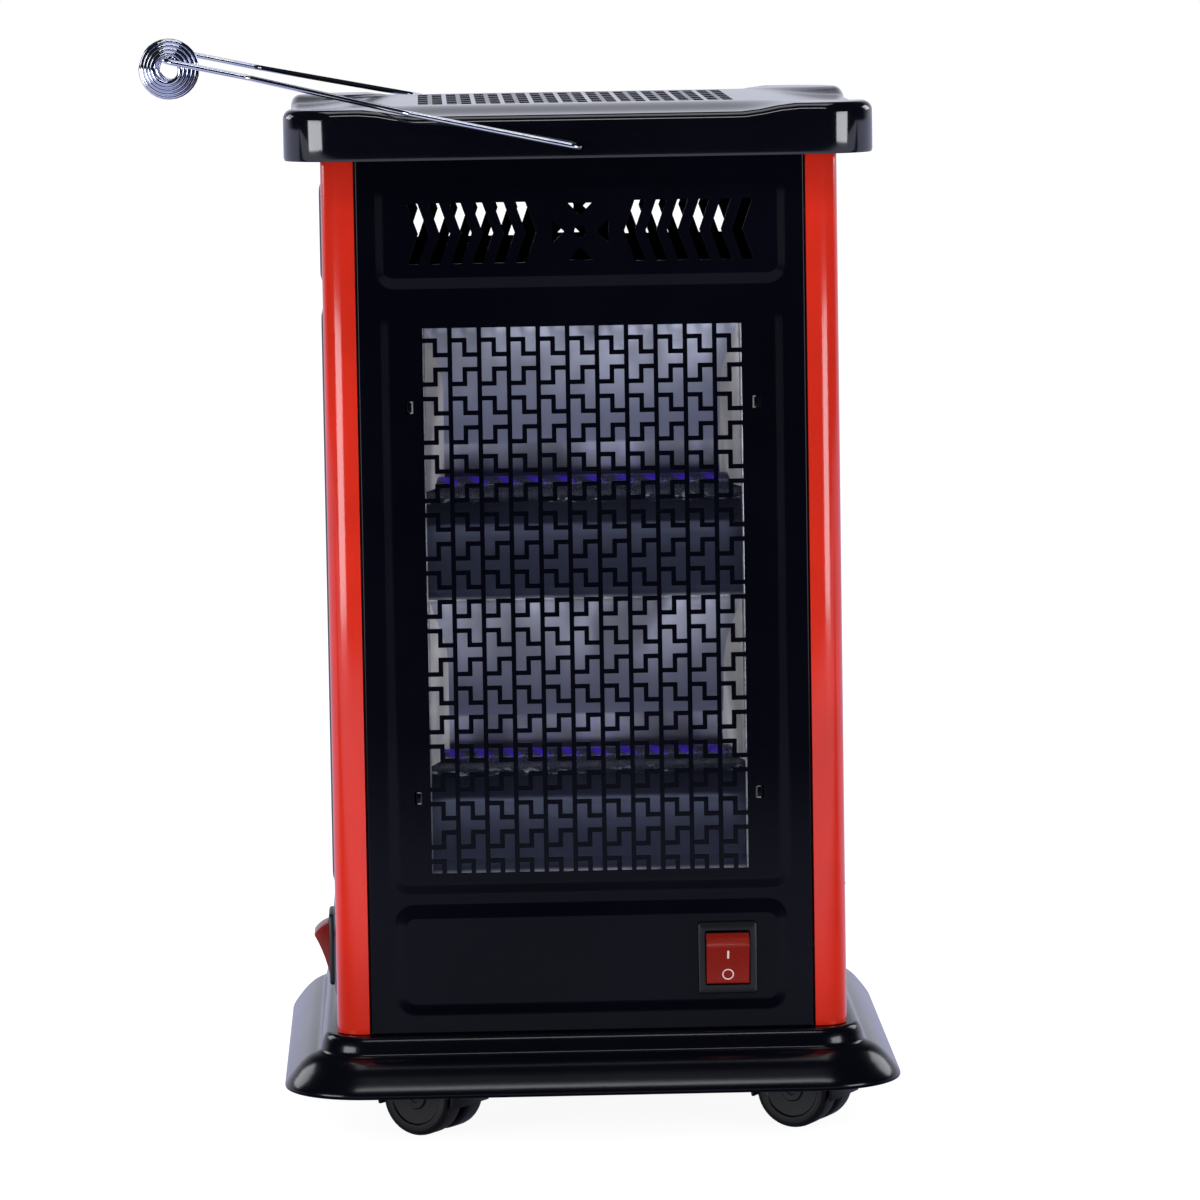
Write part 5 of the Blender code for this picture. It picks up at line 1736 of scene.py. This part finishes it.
@dataclass
class Switches:
    """The rocker switch at the lower right of each side."""

    side_place: float = 58 * MM
    level: float = 34.5 * MM
    bezel_face: float = 112.8 * MM
    bezel_back: float = 110.8 * MM
    bezel: Flat = (12.7 * MM, 15.5 * MM)
    body: Flat = (11.0 * MM, 14.0 * MM)
    body_back: float = 86.8 * MM
    well_depth: float = 8.2 * MM
    rocker_half: float = 9.15 * MM
    radius: float = 11.43 * MM
    clearance: float = 0.3 * MM
    pivot_depth: float = 3.1 * MM
    face_half: float = 53.3
    tilt: float = 20.4
    hollow: float = 0.7 * MM
    mark_height: float = 0.05 * MM

    def housing(self) -> Mesh:
        """The bezel and body, with the well that the rocker sits in.

        Returns:
            Its mesh.
        """
        well = (self.rocker_half + self.clearance, self.radius + self.clearance)
        front, back = -self.bezel_face, -self.bezel_back
        rows = [
            (well, 0.0, 0.5, front + self.well_depth),
            (well, 0.0, 0.5, front + 0.25 * MM),
            (well, 0.25, 0.7, front),
            (self.bezel, -0.9, 0.8, front),
            (self.bezel, -0.35, 1.2, front + 0.25 * MM),
            (self.bezel, 0.0, 1.5, front + 0.9 * MM),
            (self.bezel, 0.0, 1.5, back),
            (self.body, 0.0, 0.8, back),
            (self.body, 0.0, 0.8, -self.body_back),
        ]
        rings = []
        for (half_u, half_v), grow, radius, at in rows:
            tall = half_v + grow * MM
            low, high = self.level - tall, self.level + tall
            loop = rounded(half_u + grow * MM, low, high, radius * MM, 5)
            rings.append([Vector((u + self.side_place, at, v)) for u, v in loop])
        return as_mesh(skin(rings, caps=True))

    def tilted(self, out: float, up: float) -> Flat:
        """Turns a place on the upright rocker by its tilt at rest."""
        cos, sin = math.cos(math.radians(self.tilt)), math.sin(math.radians(self.tilt))
        return (out * cos + up * sin, up * cos - out * sin)

    def hollowed(self, up: float) -> Flat:
        """A place on the rocker's hollow lower face, with its tilt at rest.

        Args:
            up: Height from the face's middle, along the face.

        Returns:
            Outward place and height from the pivot.
        """
        half = math.radians(self.face_half)
        share = up / (self.radius * math.sin(half))
        return self.tilted(self.radius * math.cos(half) - self.hollow * (1 - share * share), up)

    def rocker(self) -> Mesh:
        """The rocker, with softened edges.

        Returns:
            Its mesh.
        """
        half, travel, tilt, steps = self.face_half, 2 * self.tilt, -self.tilt, 12
        wide = self.radius * math.sin(math.radians(half))
        section = arc((0.0, 0.0), self.radius, tilt - half - travel, tilt - half, 14)
        section += [self.hollowed(wide * (2 * i / steps - 1)) for i in range(1, steps)]
        section += arc((0.0, 0.0), self.radius, tilt + half, tilt + half + travel, 14)
        pivot = self.bezel_face - self.pivot_depth
        outline = [(-pivot - out, self.level + up) for out, up in section]
        low, high = self.side_place - self.rocker_half, self.side_place + self.rocker_half
        return refined(prism(outline, low, high, Along.X), bevel=0.45 * MM, segments=3)

    def on_face(self, loop: Loop, height: float) -> list[Vector]:
        """Places an outline on the rocker's lower face.

        Args:
            loop: The outline, across and up from the face's middle.
            height: How far above the face it lies.

        Returns:
            Its points.
        """
        lean = math.radians(self.tilt)
        lift = Vector((0.0, -math.cos(lean), -math.sin(lean))) * height
        pivot = Vector((self.side_place, self.pivot_depth - self.bezel_face, self.level))
        places = [(u, *self.hollowed(up)) for u, up in loop]
        return [pivot + Vector((u, -out, up)) + lift for u, out, up in places]

    def marks(self) -> Mesh:
        """The bar and the ring on the rocker.

        Returns:
            Their mesh.
        """
        heights = (-self.mark_height, self.mark_height)
        bar = rounded(0.42 * MM, 2.6 * MM, 6.6 * MM, 0.2 * MM, 2)
        outer, inner = (circle((0.0, -5.0 * MM), radius * MM) for radius in (2.5, 2.0))
        ring = [self.on_face(outer, height) for height in heights]
        ring += [self.on_face(inner, height) for height in reversed(heights)]
        flat = [self.on_face(bar, height) for height in heights]
        return merged([as_mesh(skin(flat, caps=True)), as_mesh(skin(ring, closed=True))])

    def build(self) -> None:
        """Sets a switch on each side."""
        housing, rocker, marks = self.housing(), self.rocker(), self.marks()
        for side in Side:
            label, turn, body = side.label, side.turn, f"{side.label}_rocker"
            node = f"{label}_switch_housing"
            show(f"{label}_switch_bezel", housing, BLACK_SATIN, CHASSIS, [node], turn)
            show(f"{label}_rocker_cap", rocker, ROCKER_RED, body, [body], turn)
            show(f"{label}_rocker_marks", marks, MARK_WHITE, body, turn=turn)


# ---- castors


@dataclass
class Castors:
    """The twin-wheel castors under the corners. The yaws are in the corners' order."""

    trail: float = 13.3 * MM
    axle_level: float = -25.83 * MM
    wheel_radius: float = 16.67 * MM
    wheel_width: float = 12 * MM
    bore: float = 2.2 * MM
    edges: Flat = (1.6 * MM, 2.4 * MM)
    web: float = 5.4 * MM
    gap: float = 0.3 * MM
    cavity: float = 17.9 * MM
    wall: float = 1.3 * MM
    yaws: tuple[float, ...] = (-32.7, -27.0, -38.0, -30.0)

    def wheel(self, side: int) -> Mesh:
        """A wheel with a rounded tread and a dished hub.

        Args:
            side: -1 for the wheel towards -Y of the web, 1 for the other.

        Returns:
            Its mesh.
        """
        inner, radius, (near, far) = self.web / 2 + self.gap, self.wheel_radius, self.edges
        outer = inner + self.wheel_width
        profile = [(self.bore, inner), (radius - near, inner)]
        profile += arc((radius - near, inner + near), near, -90, 0, 5)
        profile += arc((radius - far, outer - far), far, 0, 90, 6)
        for place, sunk in ((12.0, 0.0), (11.4, 0.9), (5.2, 0.9), (4.6, 0.0)):
            profile.append((place * MM, outer - sunk * MM))
        profile.append((self.bore, outer))
        centre = (self.trail, 0.0, self.axle_level)
        return lathe([(r, side * at) for r, at in profile], 48, Along.Y, centre)

    def carrier(self) -> Mesh:
        """The hood, web, axle, collar and stem.

        Returns:
            Their mesh.
        """
        half = self.web / 2 + self.gap + self.wheel_width
        centre = (self.trail, self.axle_level)
        hood = prism(arc(centre, self.cavity + self.wall, -12, 192, 40), -half, half, Along.Y)
        wells = []
        for sign in (-1, 1):
            near, far = sign * self.web / 2, sign * (half + 4 * MM)
            wells.append(prism(circle(centre, self.cavity, 48), near, far, Along.Y))
        parts = [refined(hood, cutters=wells, bevel=0.35 * MM)]
        end = half / MM - 0.6
        stem = ((5, -14), (5, 10.5), (4.5, 11), (0.5, 11), (0.5, -14))
        collar = ((4.8, -2.3), (9.8, -2.3), (10, -2.1), (10, -0.5), (9.8, -0.3), (4.8, -0.3))
        axle = ((0.1, -end), (2, -end), (2, end), (0.1, end))
        hub = (self.trail, 0.0, self.axle_level)
        for profile, sides, along, spot in (
            (stem, 32, Along.Z, (0, 0, 0)),
            (collar, 40, Along.Z, (0, 0, 0)),
            (axle, 24, Along.Y, hub),
        ):
            parts.append(lathe([(r * MM, at * MM) for r, at in profile], sides, along, spot))
        return merged(parts)

    def build(self) -> None:
        """Sets the castors, each swivelled its own way."""
        carrier = self.carrier()
        wheels = {"a": self.wheel(-1), "b": self.wheel(1)}
        for corner, yaw in zip(Corner, self.yaws):
            shift = Matrix.Translation((*corner.spot(), 0.0))
            turn = shift @ Matrix.Rotation(math.radians(yaw), 4, "Z")
            body = f"castor_{corner.label}"
            show(f"{body}_hood", carrier, BLACK_SATIN, body, [body], turn)
            for end, mesh in wheels.items():
                node = f"wheel_{corner.label}_{end}"
                show(f"{node}_tyre", mesh, WHEEL_BLACK, node, [node], turn)


# ---- parts in the wiring space


@dataclass
class WiringSpace:
    """What stands under the heat shield, and the gland in the rear panel."""

    finishes: dict[str, Finish] = field(
        default_factory=lambda: {
            "heat_shield": ZINC,
            "thermal_cutout": ZINC,
            "terminal_block": CERAMIC,
            "tip_over_switch": BLACK_SATIN,
            "cord_gland": BLACK_SATIN,
        }
    )

    def build(self) -> None:
        """Dresses the solids that the frame already has."""
        for node, finish in self.finishes.items():
            dress_node(node, finish)


# ---- studio


@dataclass
class Softbox:
    """A rectangular lamp that looks at the heater."""

    name: str
    place: Triple
    size: Flat
    power: float
    color: Triple = (0.93, 0.95, 1.0)
    aim: Triple = (0.0, 0.0, 0.18)

    def build(self) -> None:
        """Adds the lamp."""
        lamp = bpy.data.lights.new(self.name, "AREA")
        lamp.shape = "RECTANGLE"
        lamp.size, lamp.size_y = self.size
        lamp.energy, lamp.color = self.power, self.color
        item = bpy.data.objects.new(self.name, lamp)
        bpy.context.scene.collection.objects.link(item)
        item.location = self.place
        aim = Vector(self.aim) - Vector(self.place)
        item.rotation_euler = aim.to_track_quat("-Z", "Y").to_euler()


@dataclass
class Studio:
    """The floor, the lamps, the surroundings and the camera."""

    floor_level: float = -42.5 * MM
    floor_reach: float = 14.0
    floor_soft: Triple = (0.78, 0.78, 0.80)
    floor_shadowed: Triple = (0.30, 0.30, 0.31)
    floor_glow: Triple = (0.93, 0.93, 0.93)
    mirrored_gap: Triple = (0.015, 0.015, 0.020)
    mirrored_near: Triple = (0.66, 0.69, 0.84)
    mirrored_behind: Triple = (0.60, 0.62, 0.84)
    world_tint: Triple = (0.84, 0.86, 1.0)
    world_level: float = 0.55
    camera_place: Triple = (-0.067, -2.8658, 0.492)
    yaw: float = -1.515
    pitch: float = 6.27
    roll: float = -0.919
    lens: float = 195.69
    lamps: tuple[Softbox, ...] = (
        Softbox("left_softbox", (-1.30, -1.05, 0.22), (0.80, 0.6), 10.5),
        Softbox("right_softbox", (1.30, -1.05, 0.22), (0.65, 0.6), 8.5),
        Softbox("overhead_softbox", (0.0, 0.3, 1.9), (1.0, 1.0), 4.5, (0.95, 0.97, 1.0)),
        Softbox("front_strip", (0.0, -1.25, 1.75), (1.3, 0.22), 5.0, (0.93, 0.96, 1.0)),
        Softbox("rear_left_softbox", (-1.5, 1.1, 0.9), (0.7, 0.7), 5.0),
        Softbox("rear_right_softbox", (1.5, 1.1, 0.9), (0.7, 0.7), 5.0),
    )

    def floor(self) -> None:
        """Lays the pale floor: it shows white and keeps a soft shadow."""
        reach = self.floor_reach
        bm = bmesh.new()
        outline = rectangle(-reach, -reach, reach, reach)
        bm.faces.new([bm.verts.new((x, y, self.floor_level)) for x, y in outline])
        item = holder_of(as_mesh(bm, "studio_floor"))
        paint = Paint("studio_floor")
        along = paint.axis("Y")
        front = along.ramp(-1.3, -0.9) * along.ramp(-0.15, -0.35)
        near = paint.blend(front, self.mirrored_gap, self.mirrored_near)
        tone = paint.blend(along.ramp(-0.15, 0.10), near, self.mirrored_behind)
        mirror = paint.node("ShaderNodeEmission", {}, {"Color": tone})
        soft = paint.node("ShaderNodeBsdfDiffuse", {}, {"Color": self.floor_soft})
        shadowed = paint.node("ShaderNodeBsdfDiffuse", {}, {"Color": self.floor_shadowed})
        glow = paint.node("ShaderNodeEmission", {}, {"Color": self.floor_glow})
        seen = paint.node("ShaderNodeAddShader", {}, {0: shadowed, 1: glow})
        rays = paint.node("ShaderNodeLightPath").outputs
        inputs = {0: rays["Is Glossy Ray"], 1: soft, 2: mirror}
        unseen = paint.node("ShaderNodeMixShader", {}, inputs)
        inputs = {0: rays["Is Camera Ray"], 1: unseen, 2: seen}
        chosen = paint.node("ShaderNodeMixShader", {}, inputs)
        output = next(node for node in paint.tree.nodes if node.type == "OUTPUT_MATERIAL")
        paint.feed(output.inputs["Surface"], chosen)
        paint.tree.nodes.remove(paint.shader)
        item.data.materials.append(paint.material)

    def surroundings(self) -> None:
        """A white background, a dim level of light, and a pale band behind for gloss to mirror."""
        world = bpy.data.worlds.new("studio")
        world.use_nodes = True
        bpy.context.scene.world = world
        graph = Graph(world.node_tree)
        world.node_tree.nodes.clear()
        direction = graph.node("ShaderNodeTexCoord").outputs["Generated"]
        parts = graph.node("ShaderNodeSeparateXYZ", {}, {0: direction}).outputs
        height, depth = Signal(graph, parts["Z"]), Signal(graph, parts["Y"])
        mirrored = 0.015 + depth.ramp(0.30, 0.80) * height.ramp(0.50, 0.04) * 0.8
        rays = graph.node("ShaderNodeLightPath").outputs
        camera, glossy, clear = (
            Signal(graph, rays[f"Is {name} Ray"]) for name in ("Camera", "Glossy", "Transmission")
        )
        direct = camera.math("MAXIMUM", clear)
        rest = (1.0 - glossy) * self.world_level + glossy * mirrored
        tints = zip(("Red", "Green", "Blue"), self.world_tint)
        channels = {name: direct + (1.0 - direct) * rest * tint for name, tint in tints}
        color = graph.node("ShaderNodeCombineColor", {}, channels)
        backdrop = graph.node("ShaderNodeBackground", {}, {"Color": color, "Strength": 1.0})
        graph.node("ShaderNodeOutputWorld", {}, {"Surface": backdrop})

    def camera(self) -> None:
        """Sets the camera at the photograph's viewing angle."""
        yaw, pitch, roll = (math.radians(angle) for angle in (self.yaw, self.pitch, self.roll))
        ahead = Vector((-math.sin(yaw), math.cos(yaw), 0.0)) * math.cos(pitch)
        forward = ahead - Vector((0.0, 0.0, math.sin(pitch)))
        level = Vector((math.cos(yaw), math.sin(yaw), 0.0))
        upright = level.cross(forward)
        right = level * math.cos(roll) + upright * math.sin(roll)
        up = upright * math.cos(roll) - level * math.sin(roll)
        data = bpy.data.cameras.new("camera")
        data.sensor_width, data.sensor_fit = 36.0, "HORIZONTAL"
        data.lens, data.clip_end = self.lens, 60.0
        item = bpy.data.objects.new("camera", data)
        bpy.context.scene.collection.objects.link(item)
        basis = Matrix((right, up, -forward)).transposed().to_4x4()
        item.matrix_world = Matrix.Translation(self.camera_place) @ basis
        bpy.context.scene.camera = item

    def build(self) -> None:
        """Sets up the studio."""
        self.floor()
        self.surroundings()
        self.camera()
        for lamp in self.lamps:
            lamp.build()
        bpy.context.scene.view_settings.view_transform = "Standard"


def main() -> None:
    """Builds the heater's parts and the studio in order."""
    logging.basicConfig(level=logging.INFO, format="%(name)s %(message)s")
    shop = Workshop()
    assemblies = (
        Studio(),
        BasePan(),
        CornerPosts(),
        SidePanels(shop),
        TopCover(shop),
        WireHandle(shop),
        Elements(shop),
        Switches(),
        Castors(),
        WiringSpace(),
    )
    for assembly in assemblies:
        LOG.info("building %s", type(assembly).__name__)
        assembly.build()


if __name__ == "__main__":
    main()
